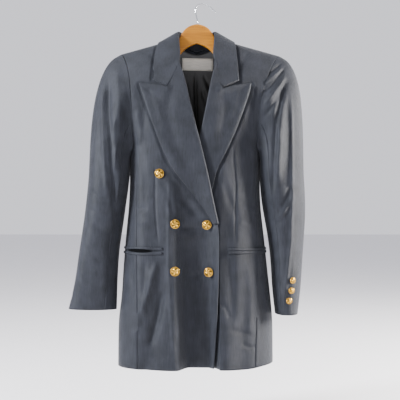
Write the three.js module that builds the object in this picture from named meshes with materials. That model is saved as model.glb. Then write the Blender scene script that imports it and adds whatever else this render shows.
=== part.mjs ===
// A long double breasted blazer on its wooden hanger: peak lapels, jetted pockets, two-piece sleeves
// and metal buttons, buttoned right over left. It hangs from the hook, so the origin is the inside of
// the hook's top: the tables have a datum of their own, and the whole is moved at the end.
// +X is the wearer's left, -Y the front and +Z up, in millimetres.
// Every cloth piece is a wall of one thickness on a shared body form, parted from its neighbour by a seam.
import * as THREE from "three";

const CLOTH = 1.6; // wool with its fusing, at every panel
const FOLDED_CLOTH = 1.8; // collar and lapels, cloth and facing pressed together
const LINING = 1.0;
const SEAM = 0.3; // gap between two pieces at a seam
const SHOULDER_TOP = -76; // height of the shoulder line at the neck
const SHOULDER_SLOPE = 0.28; // fall of the shoulder line for each mm outwards
const NECK_CENTRE = -7;
const NECK_HALF = 53;
const LEVEL_TOP = -98; // height from which the level cross-grain lines of the body are measured
const HEM_DROP = 765; // shoulder line to hem
const UNDERARM_DROP = 231;
const UNDERARM_DIP = 17; // how far the armhole's lowest point lies below its front corner
const BREAK_HEIGHT = -529; // where the lapel starts to roll back, at the upper button
const FRONT_BUTTON_R = 11;
const CUFF_BUTTON_R = 7.5;
const HOOK_WIRE_R = 1.75;
const HANGER_THICKNESS = 14;
const HANGER_CENTRE = -2; // where its middle plane lies, front to back
const HANGER_END = 181; // half length of the hanger
const HOOK_INSIDE = { x: 5.5, z: 7.6 }; // inside of the hook's top, in the tables' frame

const clamp = (v, low = 0, high = 1) => Math.min(high, Math.max(low, v));
const lerp = (a, b, t) => a + (b - a) * t;
const radians = (degrees) => (degrees * Math.PI) / 180;
const vec = (x, y, z) => new THREE.Vector3(x, y, z);

// 0 below low, 1 above high, with a soft start and end.
function ease(low, high, v) {
  const t = clamp((v - low) / (high - low));
  return t * t * (3 - 2 * t);
}

// A soft bump, 1 in the middle and close to 0 beyond twice its half width.
const swell = (distance, halfWidth) => Math.exp(-((distance / halfWidth) ** 2));

// Reads column `to` of a table as a smooth curve over column `from`, with no overshoot between rows.
function curve(rows, from, to, scale = (v) => v) {
  const points = rows.filter((row) => to in row).map((row) => [scale(row[from]), row[to]]);
  points.sort((a, b) => a[0] - b[0]);
  const slopes = points.slice(1).map((p, i) => (p[1] - points[i][1]) / (p[0] - points[i][0]));
  const tangents = points.map((_, i) => {
    if (i === 0) return slopes[0];
    if (i === slopes.length) return slopes[i - 1];
    const [before, after] = [slopes[i - 1], slopes[i]];
    return before * after <= 0 ? 0 : (2 * before * after) / (before + after);
  });
  return (value) => {
    const v = clamp(scale(value), points[0][0], points[points.length - 1][0]);
    let i = 0;
    while (i < points.length - 2 && v > points[i + 1][0]) i += 1;
    const width = points[i + 1][0] - points[i][0];
    const t = (v - points[i][0]) / width;
    const rise = points[i + 1][1] - points[i][1];
    const [start, end] = [tangents[i] * width, tangents[i + 1] * width];
    return points[i][1] + t * (start + t * (3 * rise - 2 * start - end + t * (start + end - 2 * rise)));
  };
}

// The body form, level by level below the shoulder line. Above the underarm the sides are wider than
// the cloth, which ends at the armholes.
const BODY = [
  { drop: 0, rightSide: -250, leftSide: 240, front: 0, back: 0, square: 3 },
  { drop: 1.2, front: 8, back: 8 },
  { drop: 4.5, front: 15, back: 15 },
  { drop: 10, front: 21.5, back: 21 },
  { drop: 18, front: 27.5, back: 27 },
  { drop: 30, front: 34, back: 34 },
  { drop: 48, front: 42, back: 41 },
  { drop: 75, rightSide: -245, leftSide: 235, front: 51, back: 49, square: 2.9 },
  { drop: 110, rightSide: -232, leftSide: 218, front: 61, back: 57 },
  { drop: 150, rightSide: -212, leftSide: 192, front: 71, back: 64, square: 2.6 },
  { drop: 190, rightSide: -190, leftSide: 166, front: 78, back: 70 },
  { drop: 231, rightSide: -171, leftSide: 147, front: 84, back: 74, square: 2.4 },
  { drop: 300, rightSide: -170, leftSide: 145, front: 90, back: 77 },
  { drop: 370, rightSide: -172, leftSide: 146, front: 93, back: 78 },
  { drop: 450, rightSide: -180, leftSide: 155, front: 95, back: 80 },
  { drop: 550, rightSide: -188, leftSide: 166, front: 97, back: 83 },
  { drop: 620, rightSide: -192, leftSide: 174, front: 98, back: 85 },
  { drop: 655, rightSide: -199, leftSide: 177, front: 99, back: 86 },
  { drop: 765, rightSide: -200, leftSide: 178, front: 100, back: 90, square: 2.5 },
];
// Rows of the front and back panels, close together where the cloth turns over the shoulder.
const TOP_DROPS = [0, 1.2, 4.5, 10, 18, 30, 48, 72, 100, 130, 160, 195, UNDERARM_DROP];
const LOW_DROPS = [UNDERARM_DROP, 258, 290, 325, 360, 400, 440, 480, 520, 562, 605, 648, 688, 728, HEM_DROP];
const PANEL_DROPS = [...TOP_DROPS, ...LOW_DROPS.slice(1)];

// Armhole edges of the front and back, and the seams of the side panel below it.
const ARMHOLE = [
  { drop: 0, rightFront: -190, leftFront: 192, rightBack: -190, leftBack: 192 },
  { drop: 4, rightFront: -187, leftFront: 188, rightBack: -188, leftBack: 190 },
  { drop: 12, rightFront: -183, leftFront: 183, rightBack: -186, leftBack: 188 },
  { drop: 25, rightFront: -178, leftFront: 176, rightBack: -182, leftBack: 184 },
  { drop: 50, rightFront: -171, leftFront: 166, rightBack: -178, leftBack: 178 },
  { drop: 105, rightFront: -164, leftFront: 150, rightBack: -171, leftBack: 166 },
  { drop: 150, rightFront: -161, leftFront: 141, rightBack: -168, leftBack: 155 },
  { drop: 190, rightFront: -159, leftFront: 136, rightBack: -165, leftBack: 146 },
  { drop: 231, rightFront: -157, leftFront: 133, rightBack: -160, leftBack: 137 },
  { drop: 350, rightFront: -151, leftFront: 131, rightBack: -150, leftBack: 128 },
  { drop: 500, rightFront: -149, leftFront: 133, rightBack: -150, leftBack: 130 },
  { drop: 630, rightFront: -146, leftFront: 132, rightBack: -151, leftBack: 132 },
  { drop: 765, rightFront: -144, leftFront: 128, rightBack: -152, leftBack: 132 },
];
// Roll line of each front down to the break, then its free edge. The fold is where the closed front
// turns in to the hollow between the two hanging fronts.
const FRONT_LINES = [
  { height: -76, rightEdge: -60, leftEdge: 46, rightFold: -112, leftFold: 82 },
  { height: -120, rightEdge: -54, leftEdge: 42 },
  { height: -146, rightEdge: -46, leftEdge: 35 },
  { height: -165, rightEdge: -38, leftEdge: 29, rightFold: -100, leftFold: 72 },
  { height: -228, rightEdge: -24, leftEdge: 17 },
  { height: -294, rightEdge: -8, leftEdge: 4, rightFold: -83, leftFold: 62 },
  { height: -348, rightEdge: 6, leftEdge: -9 },
  { height: -411, rightEdge: 21, leftEdge: -27, rightFold: -71, leftFold: 53 },
  { height: -470, rightEdge: 33, leftEdge: -43, leftFold: 49 },
  { height: -529, rightEdge: 44.5, leftEdge: -58, rightFold: -67, leftFold: 47 },
  { height: -600, rightEdge: 44, leftEdge: -56 },
  { height: -700, rightEdge: 41, leftEdge: -50, rightFold: -60, leftFold: 47 },
  { height: -800, rightEdge: 36 },
  { height: -870, rightEdge: 31, leftEdge: -40, rightFold: -54, leftFold: 47 },
];
// The hollow down the closed front: how deep it is, and how wide its two walls are.
const HOLLOW = [
  { height: -350, depth: 0, rightWall: 42, leftWall: 40 },
  { height: -400, depth: 6 },
  { height: -460, depth: 14 },
  { height: -530, depth: 22, rightWall: 34, leftWall: 36 },
  { height: -620, depth: 30 },
  { height: -720, depth: 37, rightWall: 30, leftWall: 30 },
  { height: -870, depth: 44, rightWall: 28, leftWall: 26 },
];
// Hanging folds of the body. Depth is inwards, and a negative one is a ridge.
const BODY_FOLDS = [
  { face: -1, topX: -86, top: -612, footX: -122, foot: -850, depth: 9, halfWidth: 15 },
  { face: -1, topX: -101, top: -618, footX: -140, foot: -712, depth: -5, halfWidth: 12 },
  { face: -1, topX: -136, top: -330, footX: -132, foot: -560, depth: -3, halfWidth: 16 },
  { face: -1, topX: -108, top: -380, footX: -104, foot: -560, depth: 3, halfWidth: 14 },
  { face: -1, topX: 70, top: -420, footX: 74, foot: -720, depth: 4, halfWidth: 14 },
  { face: -1, topX: 104, top: -640, footX: 96, foot: -880, depth: 5, halfWidth: 18 },
  { face: 1, topX: -92, top: -300, footX: -98, foot: -880, depth: 8, halfWidth: 22 },
  { face: 1, topX: -44, top: -420, footX: -50, foot: -880, depth: -7, halfWidth: 22 },
  { face: 1, topX: 70, top: -330, footX: 82, foot: -880, depth: 8, halfWidth: 24 },
  { face: 1, topX: 28, top: -460, footX: 30, foot: -880, depth: -5, halfWidth: 20 },
];
const RIGHT = -1; // the wearer's right, towards -X
const LEFT = 1;
const FRONT = -1;
const BACK = 1;
const rootOf = (drop) => Math.sqrt(drop);
const body = Object.fromEntries(
  ["rightSide", "leftSide", "front", "back", "square"].map((name) => [
    name,
    curve(BODY, "drop", name, rootOf),
  ]),
);
const armhole = Object.fromEntries(
  ["rightFront", "leftFront", "rightBack", "leftBack"].map((name) => [
    name,
    curve(ARMHOLE, "drop", name, rootOf),
  ]),
);
const line = Object.fromEntries(
  ["rightEdge", "leftEdge", "rightFold", "leftFold"].map((name) => [
    name,
    curve(FRONT_LINES, "height", name),
  ]),
);
const hollow = Object.fromEntries(
  ["depth", "rightWall", "leftWall"].map((name) => [name, curve(HOLLOW, "height", name)]),
);

// Height of the cloth at a place across the body and a drop below the shoulder line.
function heightAt(x, drop) {
  const slope = SHOULDER_TOP - SHOULDER_SLOPE * Math.max(0, Math.abs(x - NECK_CENTRE) - NECK_HALF);
  const hemRise = 8 * ease(90, 180, x) * ease(600, HEM_DROP, drop);
  return lerp(slope, LEVEL_TOP, ease(60, 280, drop)) - drop + hemRise;
}

// The drop at which the cloth has a given height.
function dropAt(x, height) {
  let drop = LEVEL_TOP - height;
  for (let i = 0; i < 6; i += 1) drop = Math.max(0, drop + heightAt(x, drop) - height);
  return drop;
}

// How far the hollow between the fronts lies behind the body form.
function hollowAt(x, height) {
  const below = ease(BREAK_HEIGHT + 60, BREAK_HEIGHT, height);
  const start = line.rightFold(height);
  const end = lerp(line.leftFold(height), line.rightEdge(height) + 1, 1 - below);
  const rightWall = ease(0, hollow.rightWall(height), x - start);
  const leftWall = ease(0, hollow.leftWall(height), end - x);
  return hollow.depth(height) * rightWall * leftWall;
}

// How far the hanging folds lie behind the body form.
function foldsAt(x, height, face) {
  let depth = 0;
  for (const fold of BODY_FOLDS.filter((f) => f.face === face)) {
    const along = (height - fold.top) / (fold.foot - fold.top);
    const reach = ease(-0.15, 0.35, along) * (1 - ease(0.9, 1.5, along) * 0.6);
    depth += fold.depth * reach * swell(x - lerp(fold.topX, fold.footX, along), fold.halfWidth);
  }
  return depth;
}

// A point of the front or back.
function bodyPoint(x, drop, face) {
  const [right, left] = [body.rightSide(drop), body.leftSide(drop)];
  const across = clamp(Math.abs(x - (right + left) / 2) / ((left - right) / 2));
  const square = body.square(drop);
  const depth = (face === FRONT ? body.front : body.back)(drop) * (1 - across ** square) ** (1 / square);
  const height = heightAt(x, drop);
  const hollowDepth = face === FRONT ? hollowAt(x, height) : 0;
  return vec(x, face * (depth - hollowDepth - foldsAt(x, height, face)), height);
}

// A point round the side of the body: turn is 0 at the front middle, 90 at the side, 180 at the back.
function sidePoint(side, turn, drop) {
  const square = body.square(drop);
  const [right, left] = [body.rightSide(drop), body.leftSide(drop)];
  const sine = Math.abs(Math.sin(radians(turn))) ** (2 / square);
  const x = (right + left) / 2 + (side * sine * (left - right)) / 2;
  if (turn <= 90) return bodyPoint(x, drop, FRONT);
  return bodyPoint(x, drop, BACK);
}

// The turn at which the body form reaches a given x.
function turnAt(x, drop, face) {
  const [right, left] = [body.rightSide(drop), body.leftSide(drop)];
  const across = clamp(Math.abs(x - (right + left) / 2) / ((left - right) / 2));
  const turn = (Math.asin(across ** (body.square(drop) / 2)) * 180) / Math.PI;
  return face === FRONT ? turn : 180 - turn;
}

// The unit vector out of a surface, from two neighbouring points each way.
function normalOf(surface, u, v, stepU, stepV) {
  const alongU = surface(u + stepU, v).sub(surface(u - stepU, v));
  const alongV = surface(u, v + stepV).sub(surface(u, Math.max(0, v - stepV)));
  return alongU.cross(alongV).normalize();
}

// A closed wall on rows of outer points, with its thickness laid off inwards.
function wall(rows, thickness, inward) {
  const [height, width] = [rows.length, rows[0].length];
  const inner = rows.map((row, j) =>
    row.map((point, i) => point.clone().addScaledVector(inward(i, j, point), thickness)),
  );
  const at = (i, j, side) => side * width * height + j * width + i;
  const faces = [];
  const quad = (a, b, c, d) => faces.push(a, b, c, a, c, d);
  for (let j = 0; j < height - 1; j += 1) {
    quad(at(0, j, 0), at(0, j, 1), at(0, j + 1, 1), at(0, j + 1, 0));
    quad(at(width - 1, j, 0), at(width - 1, j + 1, 0), at(width - 1, j + 1, 1), at(width - 1, j, 1));
  }
  for (let i = 0; i < width - 1; i += 1) {
    quad(at(i, 0, 0), at(i + 1, 0, 0), at(i + 1, 0, 1), at(i, 0, 1));
    quad(at(i, height - 1, 0), at(i, height - 1, 1), at(i + 1, height - 1, 1), at(i + 1, height - 1, 0));
  }
  for (let j = 0; j < height - 1; j += 1) {
    for (let i = 0; i < width - 1; i += 1) {
      quad(at(i, j, 0), at(i, j + 1, 0), at(i + 1, j + 1, 0), at(i + 1, j, 0));
      quad(at(i, j, 1), at(i + 1, j, 1), at(i + 1, j + 1, 1), at(i, j + 1, 1));
    }
  }
  return closedGeometry([...rows.flat(), ...inner.flat()], faces);
}

// A geometry whose faces point out, whichever way they were listed.
function closedGeometry(points, faces) {
  let volume = 0;
  for (let i = 0; i < faces.length; i += 3) {
    const [a, b, c] = [points[faces[i]], points[faces[i + 1]], points[faces[i + 2]]];
    volume += a.dot(b.clone().cross(c));
  }
  const index = volume < 0 ? [...faces].reverse() : faces;
  const geometry = new THREE.BufferGeometry();
  geometry.setAttribute("position", new THREE.Float32BufferAttribute(points.flatMap((p) => p.toArray()), 3));
  geometry.setIndex(index);
  geometry.computeVertexNormals();
  return geometry;
}

const blazer = new THREE.Group();
const colours = {
  wool: 0x4a515c,
  lining: 0x3f403f,
  label: 0xd9d6cb,
  gold: 0xc79a3e,
  wood: 0xc98a3a,
  steel: 0xa8abb0,
};
function finish(color, roughness, metalness = 0) {
  return new THREE.MeshStandardMaterial({ color, roughness, metalness });
}
const wool = finish(colours.wool, 0.8);
const liningSatin = finish(colours.lining, 0.5);
const labelSatin = finish(colours.label, 0.6);
const gilt = finish(colours.gold, 0.3, 1);
const beech = finish(colours.wood, 0.5);
const plated = finish(colours.steel, 0.3, 1);

function add(name, geometry, material) {
  const mesh = new THREE.Mesh(geometry, material);
  mesh.name = name;
  blazer.add(mesh);
  return mesh;
}

// Inward direction at a point of the body form, the same on both sides of a seam.
function bodyInward(point, face) {
  const drop = dropAt(point.x, point.z);
  const surface = (x, d) => bodyPoint(x, d, face);
  const out = normalOf(surface, point.x, drop, 0.4, 0.05 + drop * 0.002);
  return Math.sign(out.y || 1) === face ? out.negate() : out;
}

// Places across a front panel, from its side seam to its fold line and on to its free edge.
const SIDE_SHARES = [0, 0.09, 0.21, 0.37, 0.55, 0.7, 0.83, 0.93];
const FOLD_STEPS = [0, 6, 12, 18, 26];
const EDGE_SHARES = [0.28, 0.52, 0.7, 0.85, 1];

// How far the roll of the lapel stands off its panel, and how far short of the roll the panel ends.
const rollLift = (side, height) => (side === RIGHT ? 6 : lerp(4, 6, ease(-330, -250, height)));
const rollRadius = (side, height) => (rollLift(side, height) + CLOTH) / 2;
const rollInset = (side, height) => (rollRadius(side, height) + SEAM) * ease(-78, -140, height);

// How far the left front is tucked behind the right one, 1 under it and 0 clear of it.
const tuckAt = (x, height) => 1 - ease(3, 42, x - line.rightEdge(height));
const TUCK_DEPTH = 8;

// A point of one front, with the left one tucked behind the right.
function frontPoint(side, x, drop) {
  const point = bodyPoint(x, drop, FRONT);
  if (side === RIGHT) return point;
  return point.addScaledVector(bodyInward(point, FRONT), TUCK_DEPTH * tuckAt(x, point.z));
}

// The free edge of a front panel: the neck, the roll and then the front edge.
function freeEdge(side, drop) {
  const name = side === RIGHT ? "rightEdge" : "leftEdge";
  let height = heightAt(0, drop);
  for (let i = 0; i < 4; i += 1) height = heightAt(line[name](height), drop);
  const rolled = ease(BREAK_HEIGHT - 6, BREAK_HEIGHT + 10, height);
  return line[name](height) + side * rollInset(side, height) * rolled;
}

function frontRows(side) {
  const name = side === RIGHT ? "right" : "left";
  return PANEL_DROPS.map((drop) => {
    const seam = armhole[`${name}Front`](drop) - side * (SEAM / 2);
    const free = freeEdge(side, drop);
    const fold = line[`${name}Fold`](heightAt(free, drop));
    const last = fold - side * FOLD_STEPS[FOLD_STEPS.length - 1];
    const places = SIDE_SHARES.map((share) => lerp(seam, fold, share));
    places.push(...FOLD_STEPS.map((step) => fold - side * step));
    places.push(...EDGE_SHARES.map((share) => lerp(last, free, share)));
    return places.map((x) => {
      const point = frontPoint(side, x, drop);
      if (drop === 0) point.y -= SEAM / 2;
      return point;
    });
  });
}
const fronts = {};
const frontEdges = {};
for (const side of [RIGHT, LEFT]) {
  const name = side === RIGHT ? "front_right" : "front_left";
  const rows = frontRows(side);
  frontEdges[side] = rows.map((row) => row[row.length - 1]);
  fronts[side] = add(name, wall(rows, CLOTH, (i, j, p) => bodyInward(p, FRONT)), wool);
}

// Back panels, from the centre seam to the armhole and the side panel. The neck is cut out at the top.
const NECK_CUT = [
  { drop: 0, half: NECK_HALF },
  { drop: 1.2, half: 52 },
  { drop: 4.5, half: 49 },
  { drop: 10, half: 41 },
  { drop: 18, half: 26 },
  { drop: 30, half: 0 },
  { drop: HEM_DROP, half: 0 },
];
const neckCut = curve(NECK_CUT, "drop", "half");
const BACK_SHARES = [0, 0.12, 0.26, 0.42, 0.58, 0.73, 0.86, 0.95, 1];
for (const side of [RIGHT, LEFT]) {
  const name = side === RIGHT ? "right" : "left";
  const rows = PANEL_DROPS.map((drop) => {
    const middle = NECK_CENTRE + side * (neckCut(drop) + SEAM / 2);
    const seam = armhole[`${name}Back`](drop) - side * (SEAM / 2);
    return BACK_SHARES.map((share) => {
      const point = bodyPoint(lerp(middle, seam, share), drop, BACK);
      if (drop === 0) point.y += SEAM / 2;
      return point;
    });
  });
  add(`back_${name}`, wall(rows, CLOTH, (i, j, p) => bodyInward(p, BACK)), wool);
}

// Side panels, round the side of the body from the front's seam to the back's, below the armhole.
const SIDE_TURNS = [0, 0.17, 0.34, 0.5, 0.66, 0.83, 1];
const underarmDip = (share) => UNDERARM_DIP * Math.sin(Math.PI * share);
function sideSeams(side, drop) {
  const name = side === RIGHT ? "right" : "left";
  return [
    turnAt(armhole[`${name}Front`](drop) + side * (SEAM / 2), drop, FRONT),
    turnAt(armhole[`${name}Back`](drop) + side * (SEAM / 2), drop, BACK),
  ];
}
for (const side of [RIGHT, LEFT]) {
  const name = side === RIGHT ? "right" : "left";
  const rows = LOW_DROPS.map((drop) =>
    SIDE_TURNS.map((share) => {
      const dipped = drop + underarmDip(share) * ease(340, UNDERARM_DROP, drop);
      const [frontSeam, backSeam] = sideSeams(side, dipped);
      return sidePoint(side, lerp(frontSeam, backSeam, share), dipped);
    }),
  );
  add(`side_${name}`, wall(rows, CLOTH, (i, j) => {
    const share = SIDE_TURNS[i];
    const drop = LOW_DROPS[j] + underarmDip(share) * ease(340, UNDERARM_DROP, LOW_DROPS[j]);
    const [frontSeam, backSeam] = sideSeams(side, drop);
    const surface = (turn, d) => sidePoint(side, turn, d);
    const out = normalOf(surface, lerp(frontSeam, backSeam, share), drop, 0.6, 0.8);
    return out.x * side > 0 || Math.abs(out.x) < 1e-6 ? out.negate() : out;
  }), wool);
}

// Lapels. The roll line runs down to the break, and the outer edge from the peak to the break.
const LAPELS = {
  [RIGHT]: {
    gorge: [
      { x: -45, height: -140, lift: 6 },
      { x: -55, height: -161, lift: 5 },
      { x: -66, height: -183, lift: 4 },
      { x: -75.5, height: -200, lift: 3.4 },
    ],
    top: [
      { x: -99, height: -194, lift: 3.2 },
      { x: -144, height: -190, lift: 3 },
    ],
    edge: [
      { x: -144, height: -190 },
      { x: -133, height: -221 },
      { x: -117, height: -269 },
      { x: -94, height: -329 },
      { x: -78, height: -371 },
      { x: -58, height: -400 },
      { x: -35, height: -431 },
      { x: 0, height: -473 },
      { x: 24, height: -503 },
      { x: 31, height: -522 },
    ],
    collarPoint: { x: -112, height: -180, lift: 3 },
  },
  [LEFT]: {
    gorge: [
      { x: 29, height: -140, lift: 6 },
      { x: 33, height: -161, lift: 5 },
      { x: 39, height: -184, lift: 4 },
      { x: 50, height: -204, lift: 3.4 },
    ],
    top: [
      { x: 78, height: -195, lift: 3.2 },
      { x: 121, height: -190, lift: 3 },
    ],
    edge: [
      { x: 121, height: -190 },
      { x: 117, height: -212 },
      { x: 105, height: -246 },
      { x: 93, height: -280 },
      { x: 76, height: -322 },
      { x: 57, height: -361 },
      { x: 40, height: -394 },
      { x: 31, height: -434 },
      { x: 23, height: -452 },
      { x: 8, height: -460 },
    ],
    collarPoint: { x: 92, height: -184, lift: 3 },
  },
};
const LAPEL_SHARES = [0.1, 0.22, 0.34, 0.46, 0.58, 0.72, 0.86, 1]; // from the roll to the outer edge
const LAPEL_TOP_STEPS = [0.13, 0.27, 0.42, 0.6, 0.69, 0.78, 0.89, 1]; // the same along its top edge
const LAPEL_FOOT = { [RIGHT]: -521, [LEFT]: LEVEL_TOP - 360 };
const LAPEL_LIFT = { [RIGHT]: 3.1, [LEFT]: 3.15 }; // of the outer edge's face off the panel
const ROLL_TURNS = [-90, -45, 0, 45, 90];

// The outward direction of a front at a place on it.
function frontNormal(side, x, height) {
  const drop = dropAt(x, height);
  const out = normalOf((sx, d) => frontPoint(side, sx, d), x, drop, 0.5, 0.05 + drop * 0.002);
  return out.y > 0 ? out.negate() : out;
}
const frontAt = (side, x, height) => frontPoint(side, x, dropAt(x, height));

// A place on the free edge of a front, straight between the panel's own points.
function edgeAtHeight(side, height) {
  const points = frontEdges[side];
  let j = 0;
  while (j < points.length - 2 && points[j + 1].z > height) j += 1;
  return points[j].clone().lerp(points[j + 1], (height - points[j].z) / (points[j + 1].z - points[j].z));
}

// The rolled fold along the free edge of a front, as points and directions.
function rollSection(side, height, radius, turns) {
  const edge = edgeAtHeight(side, height);
  const out = frontNormal(side, edge.x, height);
  const along = vec(side, 0, 0).addScaledVector(out, -side * out.x).normalize();
  const centre = edge.addScaledVector(along, -SEAM - 0.15).addScaledVector(out, radius - CLOTH);
  return turns.map((turn) => {
    const radial = out.clone().multiplyScalar(Math.sin(radians(turn)));
    radial.addScaledVector(along, -Math.cos(radians(turn)));
    return { at: centre.clone().addScaledVector(radial, radius), into: radial.clone().negate() };
  });
}

// A point of cloth that lies over a front.
function overFront(side, x, height, lift) {
  const out = frontNormal(side, x, height);
  return { at: frontAt(side, x, height).addScaledVector(out, lift), into: out.clone().negate() };
}

// Reads a list of places as smooth curves over their own numbering, 0 to 1.
function pathOf(places, keys) {
  const rows = places.map((place, i) => ({ ...place, step: i / (places.length - 1) }));
  const curves = Object.fromEntries(keys.map((key) => [key, curve(rows, "step", key)]));
  return (t) => Object.fromEntries(keys.map((key) => [key, curves[key](t)]));
}
function shelled(rows, thickness) {
  const outer = rows.map((row) => row.map((p) => p.at));
  return wall(outer, thickness, (i, j) => rows[j][i].into);
}

for (const side of [RIGHT, LEFT]) {
  const { gorge, top, edge } = LAPELS[side];
  const edgeAt = pathOf(edge, ["x", "height"]);
  const topPath = pathOf([...gorge, ...top], ["x", "height", "lift"]);
  const name = side === RIGHT ? "rightEdge" : "leftEdge";
  const rollStart = gorge[0].height - 0.6;
  const between = frontEdges[side]
    .map((p) => p.z)
    .filter((z) => z < rollStart - 5 && z > LAPEL_FOOT[side] + 5);
  const rows = [rollStart, ...between, LAPEL_FOOT[side]].map((rollHeight) => {
    const v = (rollHeight - rollStart) / (LAPEL_FOOT[side] - rollStart);
    const rollX = line[name](rollHeight);
    const [outer, first] = [edgeAt(v), edgeAt(0)];
    const radius = rollRadius(side, rollHeight);
    const bend = 1 - ease(0, 0.34, v);
    const lift = rollLift(side, rollHeight);
    const places = LAPEL_SHARES.map((u, i) => {
      const straight = {
        x: lerp(rollX + side * radius, outer.x, u),
        height: lerp(rollHeight, outer.height, u),
      };
      const topPlace = topPath(LAPEL_TOP_STEPS[i]);
      const topStraight = {
        x: lerp(gorge[0].x + side * radius, first.x, u),
        height: lerp(rollStart, first.height, u),
      };
      return overFront(
        side,
        straight.x + bend * (topPlace.x - topStraight.x),
        straight.height + bend * (topPlace.height - 0.6 - topStraight.height),
        lerp(lerp(lift, LAPEL_LIFT[side], u ** 0.8), topPlace.lift, bend),
      );
    });
    return [...rollSection(side, rollHeight, radius, ROLL_TURNS), ...places];
  });
  add(side === RIGHT ? "lapel_right" : "lapel_left", shelled(rows, FOLDED_CLOTH), wool);
}

// A place between two places on a front.
const mixPlace = (a, b, t) => ({
  x: lerp(a.x, b.x, t),
  height: lerp(a.height, b.height, t),
  lift: lerp(a.lift, b.lift, t),
});

// Collar. Its seam follows the neck, its roll stands above it, and its outer edge lies on the shoulders.
// `wrap` is the drop of the outer edge, negative in front of the shoulder line.
const COLLAR = [
  {
    rightSeam: -128, rollY: -45, rollZ: -122, rightRoll: -47.5,
    leftRoll: 31, rightEdge: -111, leftEdge: 90, wrap: -64,
  },
  {
    rightSeam: -112, rollY: -36, rollZ: -101, rightRoll: -50,
    leftRoll: 33.5, rightEdge: -109, leftEdge: 88, wrap: -42,
  },
  {
    rightSeam: -95, rollY: -22, rollZ: -78, rightRoll: -52,
    leftRoll: 35.5, rightEdge: -105, leftEdge: 86, wrap: -20,
  },
  {
    rightSeam: -84, rollY: -12, rollZ: -66, rightRoll: -52.5,
    leftRoll: 36.5, rightEdge: -102, leftEdge: 84, wrap: -8,
  },
  {
    rightSeam: -76, rollY: -3, rollZ: -59, rightRoll: -52,
    leftRoll: 36.5, rightEdge: -98.5, leftEdge: 82, wrap: -1.4,
  },
  {
    backDrop: 1.4, rollY: 6, rollZ: -57.5, rightRoll: -50.5,
    leftRoll: 35, rightEdge: -94, leftEdge: 78, wrap: 1.2,
  },
  {
    backDrop: 5, rollY: 16, rollZ: -57.5, rightRoll: -46,
    leftRoll: 31, rightEdge: -84, leftEdge: 69, wrap: 8,
  },
  {
    backDrop: 11, rollY: 27, rollZ: -59, rightRoll: -37,
    leftRoll: 22, rightEdge: -63, leftEdge: 48, wrap: 20,
  },
  {
    backDrop: 19, rollY: 34, rollZ: -61, rightRoll: -24,
    leftRoll: 10, rightEdge: -36, leftEdge: 21, wrap: 31,
  },
];
const COLLAR_MIDDLE = { backDrop: 30, rollY: 38, rollZ: -62, roll: NECK_CENTRE, edge: NECK_CENTRE, wrap: 38 };
const COLLAR_ROLL = 3.2; // radius of the roll
const COLLAR_LIFT = 3.7; // of the outer edge's face off the shoulders
const COLLAR_FALLS = [0.22, 0.44, 0.64, 0.83, 1];

// The arch of the body form over the shoulder at one x: a point, and the way out of it. `wrap` is the
// drop, negative in front.
function archAt(x, wrap) {
  const at = bodyPoint(x, Math.abs(wrap), wrap < 0 ? FRONT : BACK);
  const before = bodyPoint(x, Math.abs(wrap - 0.4), wrap - 0.4 < 0 ? FRONT : BACK);
  const after = bodyPoint(x, Math.abs(wrap + 0.4), wrap + 0.4 < 0 ? FRONT : BACK);
  const along = after.sub(before);
  return { at, out: vec(0, -along.z, along.y).normalize() };
}

// Moves a point out until it lies at least `lift` off the body form, at the same x.
function liftedOff(point, lift) {
  let best = archAt(point.x, 0);
  let nearest = Infinity;
  for (let step = -110; step <= 80; step += 1) {
    const root = step / 10;
    const arch = archAt(point.x, Math.sign(root) * root * root);
    const distance = arch.at.distanceTo(point);
    if (distance < nearest) [best, nearest] = [arch, distance];
  }
  const off = point.clone().sub(best.at).dot(best.out);
  return off < lift ? best.at.clone().addScaledVector(best.out, lift) : point.clone();
}

function collarStation(side, row) {
  const mirror = (right, left) => (side === RIGHT ? right : left);
  const roll = vec(mirror(row.rightRoll, row.leftRoll), row.rollY, row.rollZ);
  const outer = archAt(mirror(row.rightEdge, row.leftEdge), row.wrap);
  let seam = null;
  if (row.backDrop) {
    const x = NECK_CENTRE + side * neckCut(row.backDrop);
    seam = bodyPoint(x, row.backDrop, BACK).add(vec(-side * 0.9, -CLOTH, 0.9));
  } else {
    const drop = dropAt(mirror(-56, 42), row.rightSeam);
    const x = freeEdge(side, drop);
    seam = bodyPoint(x, drop, FRONT).add(vec(-side * 1, row.rightSeam === SHOULDER_TOP ? 0 : CLOTH, 0));
    if (row.rightSeam === SHOULDER_TOP) seam.z -= 0.6;
  }
  return { seam, roll, edge: outer.at.addScaledVector(outer.out, COLLAR_LIFT) };
}

function collarRows() {
  const middle = collarStation(RIGHT, {
    ...COLLAR_MIDDLE,
    rightRoll: COLLAR_MIDDLE.roll,
    rightEdge: COLLAR_MIDDLE.edge,
  });
  const half = (side) => COLLAR.map((row) => collarStation(side, row));
  const stations = [...half(RIGHT), middle, ...half(LEFT).reverse()];
  const rows = stations.map(({ seam, roll, edge }, i) => {
    const before = stations[Math.max(0, i - 1)].roll;
    const after = stations[Math.min(stations.length - 1, i + 1)].roll;
    const along = after.clone().sub(before).normalize();
    const up = roll.clone().sub(seam);
    up.addScaledVector(along, -up.dot(along)).normalize();
    const out = up.clone().cross(along).normalize();
    const centre = roll.clone().addScaledVector(up, -COLLAR_ROLL);
    if (out.dot(edge.clone().sub(centre)) < 0) out.negate();
    const round = [-80, -35, 10, 55].map((turn) =>
      centre
        .clone()
        .addScaledVector(out, COLLAR_ROLL * Math.sin(radians(turn)))
        .addScaledVector(up, COLLAR_ROLL * Math.cos(radians(turn))),
    );
    const falls = COLLAR_FALLS.map((t) =>
      liftedOff(round[3].clone().lerp(edge, t), lerp(COLLAR_LIFT + 0.8, COLLAR_LIFT, t)),
    );
    return [seam, seam.clone().lerp(round[0], 0.5), ...round, ...falls];
  });
  return rows;
}

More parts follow.
